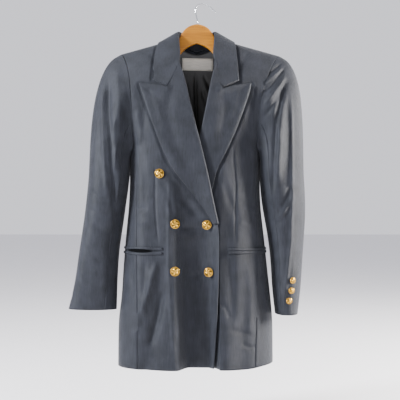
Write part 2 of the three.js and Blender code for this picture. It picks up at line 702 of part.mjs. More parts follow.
// The collar's front end lies along the gorge of the lapel.
function collarEnd(side) {
  const { gorge, collarPoint } = LAPELS[side];
  const radius = (gorge[0].lift + CLOTH) / 2;
  const notch = gorge[gorge.length - 1];
  const roll = rollSection(side, gorge[0].height, radius, [-90, -60, -25, 10, 45, 80]);
  const leaf = [...gorge.slice(1), mixPlace(notch, collarPoint, 0.5), collarPoint];
  return [...roll, ...leaf.map((place) => overFront(side, place.x, place.height, place.lift))];
}
{
  const ends = [collarEnd(RIGHT), collarEnd(LEFT)];
  const rows = [ends[0].map((p) => p.at), ...collarRows(), ends[1].map((p) => p.at)];
  const into = (i, j) => {
    if (j === 0) return ends[0][i].into;
    if (j === rows.length - 1) return ends[1][i].into;
    const across = rows[j][Math.min(rows[j].length - 1, i + 1)].clone().sub(rows[j][Math.max(0, i - 1)]);
    return across.cross(rows[j + 1][i].clone().sub(rows[j - 1][i])).normalize().negate();
  };
  add("collar", wall(rows, FOLDED_CLOTH, into), wool);
}

// Sleeves. The tables give the tube below the armhole, level by level.
const SLEEVES = {
  [RIGHT]: [
    { height: -345, inner: -163, outer: -262, halfDepth: 64, middle: -5 },
    { height: -393, inner: -167, outer: -265.5, halfDepth: 62, middle: -6 },
    { height: -466, inner: -179, outer: -272.5, halfDepth: 59.5, middle: -8 },
    { height: -519, inner: -186, outer: -279, halfDepth: 55, middle: -9 },
    { height: -587, inner: -196, outer: -289, halfDepth: 48, middle: -11 },
    { height: -660, inner: -200, outer: -299, halfDepth: 37, middle: -14 },
    { height: -728, inner: -202, outer: -315, halfDepth: 27, middle: -17 },
  ],
  [LEFT]: [
    { height: -345, inner: 136, outer: 245, halfDepth: 64, middle: -5 },
    { height: -393, inner: 140, outer: 248, halfDepth: 62, middle: -6 },
    { height: -442, inner: 146, outer: 251, halfDepth: 61, middle: -7 },
    { height: -490, inner: 153, outer: 252.5, halfDepth: 60, middle: -8 },
    { height: -539, inner: 163, outer: 250.5, halfDepth: 59, middle: -9 },
    { height: -600, inner: 171, outer: 246, halfDepth: 58, middle: -10 },
    { height: -684, inner: 176, outer: 239.5, halfDepth: 56, middle: -12 },
    { height: -738, inner: 182, outer: 233, halfDepth: 54, middle: -12 },
  ],
};
// Folds of the sleeves. Turn is in degrees round the tube: 0 outermost, 90 front, 180 next to the body.
const SLEEVE_FOLDS = {
  [RIGHT]: [
    { top: -160, foot: -480, topTurn: 70, footTurn: 124, depth: 8, width: 11 },
    { top: -190, foot: -400, topTurn: 46, footTurn: 70, depth: -3, width: 12 },
    { top: -420, foot: -560, topTurn: 150, footTurn: 100, depth: 3, width: 14 },
  ],
  [LEFT]: [
    { top: -160, foot: -470, topTurn: 66, footTurn: 122, depth: 8, width: 11 },
    { top: -200, foot: -690, topTurn: 62, footTurn: 92, depth: -3.5, width: 12 },
    { top: -430, foot: -520, topTurn: 50, footTurn: 96, depth: 3, width: 12 },
  ],
};
const CAP_STEPS = [0, 0.07, 0.16, 0.27, 0.4, 0.54, 0.68, 0.84, 1];
const CAP_FOOT = -400; // height below which the sleeve hangs as a level tube
const TUBE_SHARES = [0.1, 0.2, 0.31, 0.42, 0.53, 0.64, 0.75, 0.86, 1];
const SLEEVE_DROPS = [1.2, 6, 13, 24, 40, 60, 82, 105, 130, 155, 180, 206, UNDERARM_DROP];
const SLEEVE_SEAMS = { front: 11, back: 22 }; // numbers of the columns at the forearm and elbow seams

// The armhole's outline with, at each place, the way off the body panels and the way into the sleeve.
function armholeLoop(side) {
  const name = side === RIGHT ? "right" : "left";
  const sideways = vec(side, 0, 0);
  const [seamFront, seamBack] = sideSeams(side, UNDERARM_DROP);
  const edgeOf = (face) => {
    const across = armhole[name + (face === FRONT ? "Front" : "Back")];
    return (drop) => bodyPoint(across(drop), drop, face);
  };
  const onPanel = (face, drop) => {
    const edge = edgeOf(face);
    const at = edge(drop);
    const along = edge(drop * 1.04 + 0.3).sub(edge(Math.max(0, drop * 0.96 - 0.3)));
    const into = bodyInward(at, face);
    const off = along.cross(into).normalize();
    if (off.x * side < 0) off.negate();
    const corner = ease(150, UNDERARM_DROP, drop);
    return {
      at: at.addScaledVector(off.lerp(sideways, corner).normalize(), SEAM + 0.1 + 0.5 * corner),
      into: into.lerp(sideways, corner * 0.75).normalize(),
      down: corner * 0.7,
    };
  };
  const top = {
    at: bodyPoint(armhole[`${name}Front`](0), 0, FRONT).addScaledVector(sideways, SEAM + 0.1),
    into: vec(0, 0, -1),
    down: 0,
  };
  const under = SIDE_TURNS.slice(1, -1).map((share) => {
    const drop = UNDERARM_DROP + underarmDip(share);
    const [front, back] = sideSeams(side, drop);
    const turn = lerp(front, back, share);
    const out = normalOf((t, d) => sidePoint(side, t, d), turn, drop, 0.6, 0.8);
    if (out.x * side < 0) out.negate();
    return {
      at: sidePoint(side, turn, drop).addScaledVector(out, SEAM + 0.6),
      into: out.lerp(sideways, 0.5).normalize(),
      down: 1,
    };
  });
  const front = SLEEVE_DROPS.map((drop) => onPanel(FRONT, drop));
  const back = SLEEVE_DROPS.map((drop) => onPanel(BACK, drop)).reverse();
  return [top, ...front, ...under, ...back];
}

// Keeps a point of the sleeve clear of the side of the body.
function clearOfBody(side, point, gap) {
  const drop = dropAt(point.x, point.z);
  if (drop < UNDERARM_DROP - 2) return point;
  const [right, left] = [body.rightSide(drop), body.leftSide(drop)];
  const square = body.square(drop);
  const depth = (point.y < 0 ? body.front : body.back)(drop);
  const share = clamp(Math.abs(point.y) / depth);
  const limit = (right + left) / 2 + (side * (1 - share ** square) ** (1 / square) * (left - right)) / 2;
  if ((point.x - limit) * side < gap) point.x = limit + side * gap;
  return point;
}

function sleeveRows(side) {
  const tube = Object.fromEntries(
    ["inner", "outer", "halfDepth", "middle"].map((key) => [key, curve(SLEEVES[side], "height", key)]),
  );
  const ringPoint = (turn, height) => {
    const [inner, outer] = [tube.inner(height), tube.outer(height)];
    const [cos, sin] = [Math.cos(radians(turn)), Math.sin(radians(turn))];
    const round = (v) => Math.sign(v) * Math.abs(v) ** 0.92;
    return vec(
      (inner + outer) / 2 + (round(cos) * (outer - inner)) / 2,
      tube.middle(height) - round(sin) * tube.halfDepth(height),
      height,
    );
  };
  const loop = armholeLoop(side);
  const lengths = loop.map((p, i) => p.at.distanceTo(loop[(i + 1) % loop.length].at));
  const total = lengths.reduce((sum, v) => sum + v, 0);
  let gone = 0;
  const turns = lengths.map((length) => {
    const turn = (360 * gone) / total;
    gone += length;
    return turn;
  });
  const foot = SLEEVES[side][SLEEVES[side].length - 1].height;
  const cap = CAP_STEPS.map((t) =>
    loop.map(({ at, down }, i) => {
      const end = ringPoint(turns[i], CAP_FOOT);
      const reach = end.distanceTo(at);
      const start = vec(side, 0, -0.32).lerp(vec(side * 0.12, 0, -1), down).normalize();
      const b = at.clone().addScaledVector(start, reach * 0.22);
      const c = end.clone().add(vec(0, 0, reach * 0.45));
      const s = 1 - t;
      return at
        .clone()
        .multiplyScalar(s ** 3)
        .addScaledVector(b, 3 * s * s * t)
        .addScaledVector(c, 3 * s * t * t)
        .addScaledVector(end, t ** 3);
    }),
  );
  const low = TUBE_SHARES.map((share) => turns.map((turn) => ringPoint(turn, lerp(CAP_FOOT, foot, share))));
  const rows = [...cap, ...low];
  const normals = (grid) =>
    grid.map((row, j) =>
      row.map((_, i) => {
        const round = row[(i + 1) % row.length].clone().sub(row[(i + row.length - 1) % row.length]);
        const down = grid[Math.min(grid.length - 1, j + 1)][i].clone().sub(grid[Math.max(0, j - 1)][i]);
        return round.cross(down).normalize().multiplyScalar(-side);
      }),
    );
  const plain = normals(rows);
  const folded = rows.map((row, j) =>
    row.map((point, i) => {
      const turn = turns[i];
      let depth = 0;
      for (const fold of SLEEVE_FOLDS[side]) {
        const along = (point.z - fold.top) / (fold.foot - fold.top);
        const near = swell(turn - lerp(fold.topTurn, fold.footTurn, along), fold.width);
        const fade = ease(-0.12, 0.15, along) * (1 - ease(0.75, 1.15, along)) * ease(0, 2.5, j);
        depth += fold.depth * near * fade;
      }
      const moved = point.clone().addScaledVector(plain[j][i], -depth);
      return j === 0 ? moved : clearOfBody(side, moved, 1.9 + 1.2 * ease(-330, -390, point.z));
    }),
  );
  const outward = normals(folded);
  return folded.map((row, j) =>
    row.map((at, i) => {
      const into = outward[j][i].clone().negate();
      if (j === 0) return { at, into: loop[i].into };
      return { at, into: j === 1 ? into.add(loop[i].into).normalize() : into };
    }),
  );
}

for (const side of [RIGHT, LEFT]) {
  const name = side === RIGHT ? "right" : "left";
  const rows = sleeveRows(side);
  const columns = (from, to) => {
    const count = rows[0].length;
    return Array.from({ length: ((to - from + count) % count) + 1 }, (_, k) => (from + k) % count);
  };
  const cut = (list) =>
    rows.map((row) =>
      list.map((column, k) => {
        const inside = k === 0 ? list[1] : list[list.length - 2];
        if (k !== 0 && k !== list.length - 1) return row[column];
        const step = row[inside].at.clone().sub(row[column].at).normalize();
        return { at: row[column].at.clone().addScaledVector(step, SEAM / 2), into: row[column].into };
      }),
    );
  add(`sleeve_top_${name}`, shelled(cut(columns(SLEEVE_SEAMS.back, SLEEVE_SEAMS.front)), CLOTH), wool);
  add(`sleeve_under_${name}`, shelled(cut(columns(SLEEVE_SEAMS.front, SLEEVE_SEAMS.back)), CLOTH), wool);
}

// The lining of the back, with a pleat down its middle, and the bare label below the neck seam.
const LINING_ACROSS = [-100, -78, -56, -36, -19, -12, -9, -6, 4, 22, 42, 62, 84];
const LINING_DROPS = [34, 60, 100, 150, 200, 260, 325, 400, 480, 562, 648, 742];
const PLEAT = { x: -9, depth: 3.2, halfWidth: 3.4 };
const LABEL = { left: -44, right: 32, top: -116, foot: -145, thickness: 0.6 };
function liningTop(x) {
  const off = Math.abs(x - NECK_CENTRE);
  return off < NECK_HALF ? 8 + 23 * (1 - (off / NECK_HALF) ** 2) : 8;
}
{
  const rows = LINING_DROPS.map((drop, j) =>
    LINING_ACROSS.map((x) => {
      const depth = j === 0 ? liningTop(x) : drop;
      const point = bodyPoint(x, depth, BACK);
      const into = bodyInward(point, BACK);
      const pleat = PLEAT.depth * swell(x - PLEAT.x, PLEAT.halfWidth) * ease(70, 130, depth);
      return { at: point.addScaledVector(into, CLOTH + 0.9 + 9 * ease(60, 230, depth) + pleat), into };
    }),
  );
  const mesh = add("lining_back", shelled(rows, LINING), liningSatin);
  const across = [0, 0.2, 0.4, 0.6, 0.8, 1].map((t) => lerp(LABEL.left, LABEL.right, t));
  const label = [LABEL.top, LABEL.foot].map((z) =>
    across.map((x) => {
      const hit = hitOn([mesh], vec(x, -30, z - 0.02 * (x - LABEL.left)), vec(0, 1, 0));
      const lift = 0.45 + LABEL.thickness;
      return { at: hit.point.addScaledVector(hit.normal, lift), into: hit.normal.clone().negate() };
    }),
  );
  add("neck_label", shelled(label, LABEL.thickness), labelSatin);
}

// The first place where a line meets some of the pieces, and the way out of the face there.
function hitOn(meshes, origin, direction) {
  const caster = new THREE.Raycaster(origin, direction.clone().normalize());
  const hit = caster.intersectObjects(meshes, false)[0];
  return { point: hit.point.clone(), normal: hit.face.normal.clone() };
}

// Pocket jets: two narrow strips along each pocket, from the front round on to the side panel.
const POCKETS = {
  [RIGHT]: { x: -87, upper: [-577, -582.5], lower: [-588, -593.5] },
  [LEFT]: { x: 67, upper: [-578.5, -584.5], lower: [-585.5, -592] },
};
const POCKET_END_TURN = 84;
const JET_THICKNESS = 1.2;
for (const side of [RIGHT, LEFT]) {
  const name = side === RIGHT ? "right" : "left";
  const panels = blazer.children.filter((mesh) => [`front_${name}`, `side_${name}`].includes(mesh.name));
  for (const part of ["upper", "lower"]) {
    const rows = POCKETS[side][part].map((z) => {
      const drop = dropAt(side * 120, z);
      const start = turnAt(POCKETS[side].x, drop, FRONT);
      return Array.from({ length: 11 }, (_, i) => {
        const turn = lerp(start, POCKET_END_TURN, i / 10);
        const guide = sidePoint(side, turn, drop);
        const out = normalOf((t, d) => sidePoint(side, t, d), turn, drop, 0.6, 1);
        if (out.x * side < 0) out.negate();
        const hit = hitOn(panels, guide.clone().addScaledVector(out, 20), out.clone().negate());
        return { at: hit.point.addScaledVector(out, 0.95 + JET_THICKNESS), into: out.clone().negate() };
      });
    });
    add(`jet_${part}_${name}`, shelled(rows, JET_THICKNESS), wool);
  }
}

// Buttons: domed metal, seated on the cloth without being turned fully to its slope.
const FRONT_BUTTON = [
  [0, 0],
  [9.8, 0],
  [FRONT_BUTTON_R, 1.2],
  [10.2, 2.8],
  [8.8, 2.6],
  [5, 4.6],
  [0, 5.4],
];
const CUFF_BUTTON = [
  [0, 0],
  [6.8, 0],
  [CUFF_BUTTON_R, 1],
  [6.2, 2.2],
  [0, 3.6],
];
function seatButton(name, meshes, target, approach, profile, segments) {
  const toward = approach.clone().normalize();
  const hit = hitOn(meshes, target.clone().addScaledVector(toward, 150), toward.clone().negate());
  const axis = toward.clone().lerp(hit.normal, 0.35).normalize();
  const turned = new THREE.Quaternion().setFromUnitVectors(vec(0, 1, 0), axis);
  const radius = Math.max(...profile.map(([r]) => r));
  let rise = 0;
  for (let k = 0; k < 48; k += 1) {
    const reach = (radius * (1 + (k % 3))) / 3;
    const rim = vec(reach * Math.cos(k * 0.4), 0, reach * Math.sin(k * 0.4)).applyQuaternion(turned);
    const start = hit.point.clone().add(rim).addScaledVector(axis, 60);
    rise = Math.max(rise, 60 - hitOn(meshes, start, axis.clone().negate()).point.distanceTo(start));
  }
  const shape = new THREE.LatheGeometry(profile.map(([r, y]) => new THREE.Vector2(r, y)), segments);
  shape.applyQuaternion(turned);
  const foot = hit.point.clone().addScaledVector(axis, rise + 0.35);
  shape.translate(foot.x, foot.y, foot.z);
  add(name, shape, gilt);
}
const FRONT_BUTTONS = {
  button_top_right: { x: -94.5, z: -404 },
  button_upper_right: { x: -58.5, z: -522 },
  button_upper_left: { x: 16, z: -524 },
  button_lower_right: { x: -58.5, z: -632 },
  button_lower_left: { x: 22.5, z: -635 },
};
for (const [name, { x, z }] of Object.entries(FRONT_BUTTONS)) {
  seatButton(name, [fronts[RIGHT]], vec(x, -90, z), vec(0, -1, 0), FRONT_BUTTON, 14);
}
const CUFF_BUTTONS = {
  [RIGHT]: {
    way: vec(-0.15, 1, 0),
    places: [vec(-273, -12, -655), vec(-277, -13, -679), vec(-281, -14, -703)],
  },
  [LEFT]: {
    way: vec(0.4, -0.92, 0),
    places: [vec(210, -50, -655), vec(207, -50, -679), vec(201, -50, -703)],
  },
};
for (const side of [RIGHT, LEFT]) {
  const name = side === RIGHT ? "right" : "left";
  const isSleeve = (mesh) => mesh.name.startsWith("sleeve_") && mesh.name.endsWith(name);
  const sleeve = blazer.children.filter(isSleeve);
  CUFF_BUTTONS[side].places.forEach((place, i) => {
    seatButton(`cuff_button_${name}_${i + 1}`, sleeve, place, CUFF_BUTTONS[side].way, CUFF_BUTTON, 10);
  });
}

// A closed bar through rings of points, with flat ends.
function bar(rings) {
  const size = rings[0].length;
  const faces = [];
  for (let j = 0; j < rings.length - 1; j += 1) {
    for (let i = 0; i < size; i += 1) {
      const [a, b] = [j * size + i, j * size + ((i + 1) % size)];
      faces.push(a, b, b + size, a, b + size, a + size);
    }
  }
  const last = (rings.length - 1) * size;
  for (let i = 1; i < size - 1; i += 1) {
    faces.push(0, i + 1, i, last, last + i, last + i + 1);
  }
  return closedGeometry(rings.flat(), faces);
}

// Hanger: flat contoured wood whose arms lie just under the shoulders.
const HANGER_TOP = [
  { off: 0, top: -39, deep: 48 },
  { off: 16, top: -43, deep: 50 },
  { off: 30, top: -52, deep: 50 },
  { off: 38, top: -62.5, deep: 48 },
  { off: 42, top: -71 },
  { off: 46, top: -79 },
  { off: 50, top: -85 },
  { off: 54, top: -87, deep: 40 },
  { off: 120, deep: 44 },
  { off: 165, deep: 38 },
  { off: 181, deep: 26 },
];
const hangerTop = curve(HANGER_TOP, "off", "top");
const hangerDeep = curve(HANGER_TOP, "off", "deep");
function underShoulder(x) {
  let lowest = Infinity;
  for (let step = -60; step <= 60; step += 1) {
    const root = step / 15;
    const { at, out } = archAt(x, Math.sign(root) * root * root);
    at.addScaledVector(out, -CLOTH);
    if (Math.abs(at.y - HANGER_CENTRE) < HANGER_THICKNESS / 2) lowest = Math.min(lowest, at.z);
  }
  return lowest - SEAM - 0.5;
}
function hangerRing(offset) {
  const x = NECK_CENTRE + offset;
  const off = Math.abs(offset);
  const top = off > 54 ? Math.min(hangerTop(54), underShoulder(x)) : hangerTop(off);
  const foot = top - hangerDeep(off);
  const half = HANGER_THICKNESS / 2;
  const edge = 2.5;
  const outline = [
    [-half + edge, top],
    [half - edge, top],
    [half, top - edge],
    [half, foot + edge],
    [half - edge, foot],
    [-half + edge, foot],
    [-half, foot + edge],
    [-half, top - edge],
  ];
  return outline.map(([y, z]) => vec(x, HANGER_CENTRE + y, z));
}
const HANGER_STATIONS = [0, 8, 16, 23, 30, 38, 42, 46, 50, 54, 62, 80, 100, 125, 150, 166, 176, HANGER_END];
const hangerOffsets = [...HANGER_STATIONS.slice(1).reverse().map((off) => -off), ...HANGER_STATIONS];
add("hanger_body", bar(hangerOffsets.map(hangerRing)), beech);

// Hook: bent wire that stands on the hanger's top.
const HOOK_PATH = [
  [-6, -38.2],
  [-6.5, -30],
  [-8.6, -21],
  [-10.8, -8],
  [-9.6, 1.8],
  [-4, 7.6],
  [5.5, 9.35],
  [15, 7.2],
  [24, 2.2],
  [31.5, -5],
  [38.8, -12],
];
{
  const path = new THREE.CatmullRomCurve3(HOOK_PATH.map(([x, z]) => vec(x, HANGER_CENTRE, z)));
  const rings = Array.from({ length: 25 }, (_, k) => {
    const centre = path.getPoint(k / 24);
    const along = path.getTangent(k / 24);
    const across = vec(along.z, 0, -along.x);
    return Array.from({ length: 8 }, (_unused, i) => {
      const turn = (i * Math.PI) / 4;
      return centre
        .clone()
        .addScaledVector(across, HOOK_WIRE_R * Math.cos(turn))
        .add(vec(0, HOOK_WIRE_R * Math.sin(turn), 0));
    });
  });
  add("hanger_hook", bar(rings), plated);
}

blazer.position.set(-HOOK_INSIDE.x, 0, -HOOK_INSIDE.z);
const placed = new THREE.Group();
placed.add(blazer);
export default placed;
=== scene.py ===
"""A long double breasted blazer of grey blue wool on its wooden hanger.

The cloth pieces are refined copies of the frame's walls, with their creases laid in from the tables below.
Lengths are in metres in the frame's own axes unless a name ends in _mm.
"""

from collections import namedtuple

import bmesh
import bpy
import numpy as np
from bpy.props import FloatProperty, FloatVectorProperty, PointerProperty
from bpy.types import Operator, Panel, PropertyGroup
from mathutils import Matrix, Vector
from mathutils.bvhtree import BVHTree
from mathutils.kdtree import KDTree


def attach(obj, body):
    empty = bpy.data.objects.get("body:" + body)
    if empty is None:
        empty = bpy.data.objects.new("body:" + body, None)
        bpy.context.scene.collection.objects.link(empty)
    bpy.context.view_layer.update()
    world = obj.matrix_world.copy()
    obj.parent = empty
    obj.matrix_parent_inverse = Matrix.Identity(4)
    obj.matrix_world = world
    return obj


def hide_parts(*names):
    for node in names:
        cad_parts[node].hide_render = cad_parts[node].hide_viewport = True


bl_info = {
    "name": "Double Breasted Blazer",
    "version": (1, 0, 0),
    "blender": (4, 5, 0),
    "location": "View3D > Sidebar > Blazer",
    "description": "Builds a double breasted blazer on a hanger piece by piece",
    "category": "Add Mesh",
}

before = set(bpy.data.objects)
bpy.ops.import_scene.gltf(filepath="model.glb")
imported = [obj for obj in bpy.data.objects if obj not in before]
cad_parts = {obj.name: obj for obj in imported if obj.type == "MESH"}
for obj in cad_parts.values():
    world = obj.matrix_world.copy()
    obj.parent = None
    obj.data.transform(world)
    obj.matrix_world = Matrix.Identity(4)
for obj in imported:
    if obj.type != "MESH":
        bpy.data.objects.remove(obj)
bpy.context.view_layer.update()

MM = 0.001
# The photograph's own datum lies beside the frame's origin, and the creases are measured from it.
DATUM = np.array([-5.5, 0.0, -7.6]) * MM
CAMERA_DISTANCE = 2.17
CAMERA_HEIGHT = -0.4736
FRAME_WIDTH = 0.940  # width of the view at the blazer's front
FRONT_PLANE = -0.070
FULL_TURN = 6.283185307
QUARTER_TURN = 1.5707963


def srgb(code):
    """Linear colour of a hex sRGB code."""
    parts = [int(code[i : i + 2], 16) / 255 for i in (1, 3, 5)]
    return tuple(c / 12.92 if c <= 0.04045 else ((c + 0.055) / 1.055) ** 2.4 for c in parts)


def colour(name, code, description):
    """A colour that the user may change."""
    return FloatVectorProperty(
        name=name, description=description, subtype="COLOR", size=3, min=0.0, max=1.0, default=srgb(code)
    )


def length(name, default, description):
    """A length that the user may change, in metres."""
    return FloatProperty(
        name=name, description=description, default=default, min=0.0, unit="LENGTH", precision=5
    )


def power(name, default, description):
    """A light's power that the user may change, in watts."""
    return FloatProperty(name=name, description=description, default=default, min=0.0, unit="POWER")


class BlazerCloth(PropertyGroup):
    """Colours of the cloth, the lining and the label, and the twill's pitch"""

    wool_light: colour("Wool light", "#2b2d34", "Lighter yarn of the wool")
    wool_dark: colour("Wool dark", "#17191d", "Darker yarn of the wool")
    lining: colour("Lining", "#2c2c2a", "Satin lining of the back")
    label: colour("Label", "#efeadd", "Bare woven label")
    twill_pitch: length("Twill pitch", 0.0012, "Distance between two twill ribs")


class BlazerTrim(PropertyGroup):
    """Colours of the buttons and the hanger"""

    gilt: colour("Gilt", "#d6a544", "Polished gilt buttons")
    wood_light: colour("Wood light", "#a86d06", "Light grain of the varnished beech")
    wood_dark: colour("Wood dark", "#855006", "Dark grain of the varnished beech")
    hook: colour("Hook", "#a9abad", "Plated steel wire")


class BlazerStage(PropertyGroup):
    """The floor and the studio lights"""

    floor: colour("Floor", "#e4e3e6", "Pale studio floor")
    drop: length("Floor drop", 1.02, "Depth of the floor below the hook")
    key_power: power("Key power", 460.0, "Light from the right")
    fill_power: power("Fill power", 185.0, "Light from the left")
    top_power: power("Top power", 8.0, "Light from above and from behind")


# Materials


def add_node(tree, kind, settings=None, **inputs):
    """Adds a node, sets its properties and fills its inputs with values or with other nodes' outputs.

    An input is named, with _ for a space, or numbered, as i6.
    """
    node = tree.nodes.new(kind)
    for key, value in (settings or {}).items():
        setattr(node, key, value)
    for key, value in inputs.items():
        numbered = key[0] == "i" and key[1:].isdigit()
        socket = node.inputs[int(key[1:]) if numbered else key.replace("_", " ")]
        if isinstance(value, bpy.types.NodeSocket):
            tree.links.new(value, socket)
        else:
            socket.default_value = value
    return node


def start_material(name):
    """A material with its tree emptied, its shader and the object coordinates."""
    material = bpy.data.materials.new(name)
    material.use_nodes = True
    tree = material.node_tree
    tree.nodes.clear()
    shader = add_node(tree, "ShaderNodeBsdfPrincipled")
    output = add_node(tree, "ShaderNodeOutputMaterial")
    tree.links.new(shader.outputs[0], output.inputs[0])
    coords = add_node(tree, "ShaderNodeTexCoord").outputs["Object"]
    return material, tree, shader, coords


def per_metre(size_mm):
    """Scale of a noise whose grains are that wide."""
    return 1 / (size_mm * MM)


def wool_material(settings):
    """Worsted wool twill, woven and pressed: matt, with a faint lustre and soft streaks along the warp."""
    material, tree, shader, coords = start_material("worsted_wool")
    # Yarns 0.4 mm apart are too fine to show, so their uneven dye is drawn as streaks 2.4 mm wide.
    along_warp = add_node(tree, "ShaderNodeMapping", Vector=coords, Scale=(1, 1, 0.09)).outputs[0]
    streaks = add_node(
        tree, "ShaderNodeTexNoise", Vector=along_warp, Scale=per_metre(2.4), Detail=2.0
    ).outputs[0]
    # Pressing and handling leave patches of some 25 mm.
    patches = add_node(tree, "ShaderNodeTexNoise", Vector=coords, Scale=per_metre(25), Detail=4.0).outputs[0]
    tone = add_node(tree, "ShaderNodeMath", {"operation": "ADD"}, i0=streaks, i1=patches).outputs[0]
    share = add_node(tree, "ShaderNodeMapRange", i0=tone, i1=0.5, i2=1.5).outputs[0]
    yarns = {"i6": (*settings.wool_dark, 1), "i7": (*settings.wool_light, 1)}
    base = add_node(tree, "ShaderNodeMix", {"data_type": "RGBA"}, i0=share, **yarns).outputs[2]
    tree.links.new(base, shader.inputs["Base Color"])
    # Twill ribs climb steeply, two up for one across; real ones are 0.8 mm apart and are drawn coarser.
    axes = add_node(tree, "ShaderNodeSeparateXYZ", i0=coords).outputs
    across = add_node(tree, "ShaderNodeMath", {"operation": "ADD"}, i0=axes[0], i1=axes[1]).outputs[0]
    climb = add_node(tree, "ShaderNodeMath", {"operation": "MULTIPLY"}, i0=axes[2], i1=0.5).outputs[0]
    slant = add_node(tree, "ShaderNodeMath", {"operation": "ADD"}, i0=across, i1=climb).outputs[0]
    turn = FULL_TURN / settings.twill_pitch
    turns = add_node(tree, "ShaderNodeMath", {"operation": "MULTIPLY"}, i0=slant, i1=turn).outputs[0]
    ribs = add_node(tree, "ShaderNodeMath", {"operation": "SINE"}, i0=turns).outputs[0]
    fuzz = add_node(tree, "ShaderNodeTexNoise", Vector=coords, Scale=per_metre(0.7), Detail=3.0).outputs[0]
    rib = add_node(tree, "ShaderNodeBump", Height=ribs, Distance=0.0001, Strength=0.8).outputs[0]
    yarn = add_node(
        tree, "ShaderNodeBump", Height=streaks, Distance=0.00025, Strength=0.8, Normal=rib
    ).outputs[0]
    nap = add_node(
        tree, "ShaderNodeBump", Height=fuzz, Distance=0.00012, Strength=0.8, Normal=yarn
    ).outputs[0]
    tree.links.new(nap, shader.inputs["Normal"])
    shader.inputs["Roughness"].default_value = 0.55
    shader.inputs["IOR"].default_value = 1.5
    shader.inputs["Specular IOR Level"].default_value = 0.14
    shader.inputs["Sheen Weight"].default_value = 0.05
    shader.inputs["Sheen Roughness"].default_value = 0.45
    return material


def lining_material(settings):
    """Dark acetate satin, woven smooth: a soft shine that runs along the warp."""
    material, tree, shader, coords = start_material("satin_lining")
    # Filament yarns of 0.15 mm are too fine to show and are drawn 2 mm wide.
    along_warp = add_node(tree, "ShaderNodeMapping", Vector=coords, Scale=(1, 1, 0.1)).outputs[0]
    yarn = add_node(tree, "ShaderNodeTexNoise", Vector=along_warp, Scale=per_metre(2), Detail=3.0).outputs[0]
    share = add_node(tree, "ShaderNodeMapRange", i0=yarn, i1=0.3, i2=0.7).outputs[0]
    yarns = {"i6": (*[c * 0.75 for c in settings.lining], 1), "i7": (*settings.lining, 1)}
    base = add_node(tree, "ShaderNodeMix", {"data_type": "RGBA"}, i0=share, **yarns).outputs[2]
    tree.links.new(base, shader.inputs["Base Color"])
    relief = add_node(tree, "ShaderNodeBump", Height=yarn, Distance=0.00012, Strength=0.5).outputs[0]
    tree.links.new(relief, shader.inputs["Normal"])
    shader.inputs["Roughness"].default_value = 0.38
    shader.inputs["IOR"].default_value = 1.48
    return material


def shaded_pocketing_material(settings):
    """Cotton pocketing, plain woven and matt, its tones near black as painted shade in the pocket's mouth.
    """
    material, tree, shader, coords = start_material("pocketing_painted_shade")
    # Yarns of 0.3 mm are drawn 1.5 mm wide.
    yarn = add_node(tree, "ShaderNodeTexNoise", Vector=coords, Scale=per_metre(1.5), Detail=3.0).outputs[0]
    # The near black tones are painted shade of the recess between the jets.
    yarns = {"i6": (*srgb("#020203"), 1), "i7": (*srgb("#08090a"), 1)}
    base = add_node(tree, "ShaderNodeMix", {"data_type": "RGBA"}, i0=yarn, **yarns).outputs[2]
    tree.links.new(base, shader.inputs["Base Color"])
    shader.inputs["Roughness"].default_value = 0.95
    shader.inputs["Specular IOR Level"].default_value = 0.05
    return material


def label_material(settings):
    """Off white label satin, woven with fine cross threads and left bare: pale, with a low shine."""
    material, tree, shader, coords = start_material("woven_label_satin")
    # Weft threads of 0.2 mm are drawn 1.1 mm wide.
    along_weft = add_node(tree, "ShaderNodeMapping", Vector=coords, Scale=(0.08, 1, 1)).outputs[0]
    yarn = add_node(
        tree, "ShaderNodeTexNoise", Vector=along_weft, Scale=per_metre(1.1), Detail=3.0
    ).outputs[0]
    share = add_node(tree, "ShaderNodeMapRange", i0=yarn, i1=0.3, i2=0.7).outputs[0]
    yarns = {"i6": (*[c * 0.8 for c in settings.label], 1), "i7": (*settings.label, 1)}
    base = add_node(tree, "ShaderNodeMix", {"data_type": "RGBA"}, i0=share, **yarns).outputs[2]
    tree.links.new(base, shader.inputs["Base Color"])
    relief = add_node(tree, "ShaderNodeBump", Height=yarn, Distance=0.0001, Strength=0.6).outputs[0]
    tree.links.new(relief, shader.inputs["Normal"])
    shader.inputs["Roughness"].default_value = 0.45
    return material


def gilt_material(settings):
    """Gilt brass, struck and polished: bright on the high parts, with the relief's hollows darkened partly
    as tarnish and partly as painted shade.
    """
    material, tree, shader, coords = start_material("gilt_brass")
    # Tarnish gathers in patches of some 3 mm.
    patches = add_node(tree, "ShaderNodeTexNoise", Vector=coords, Scale=per_metre(3), Detail=5.0).outputs[0]
    worn = add_node(tree, "ShaderNodeMapRange", i0=patches, i1=0.35, i2=0.6).outputs[0]
    tones = {"i6": (*[c * 0.6 for c in settings.gilt], 1), "i7": (*settings.gilt, 1)}
    brass = add_node(tree, "ShaderNodeMix", {"data_type": "RGBA"}, i0=worn, **tones).outputs[2]
    # The recess mark darkens the hollows and the groove near to black, as tarnish and as painted shade.
    recess = add_node(tree, "ShaderNodeAttribute", {"attribute_name": "recess"}).outputs["Fac"]
    dark = {"i6": brass, "i7": (*[c * 0.07 for c in settings.gilt], 1)}
    base = add_node(tree, "ShaderNodeMix", {"data_type": "RGBA"}, i0=recess, **dark).outputs[2]
    tree.links.new(base, shader.inputs["Base Color"])
    rough = add_node(tree, "ShaderNodeMapRange", i0=patches, i1=0.3, i2=0.7, i3=0.32, i4=0.18).outputs[0]
    tree.links.new(rough, shader.inputs["Roughness"])
    shader.inputs["Metallic"].default_value = 1.0
    return material


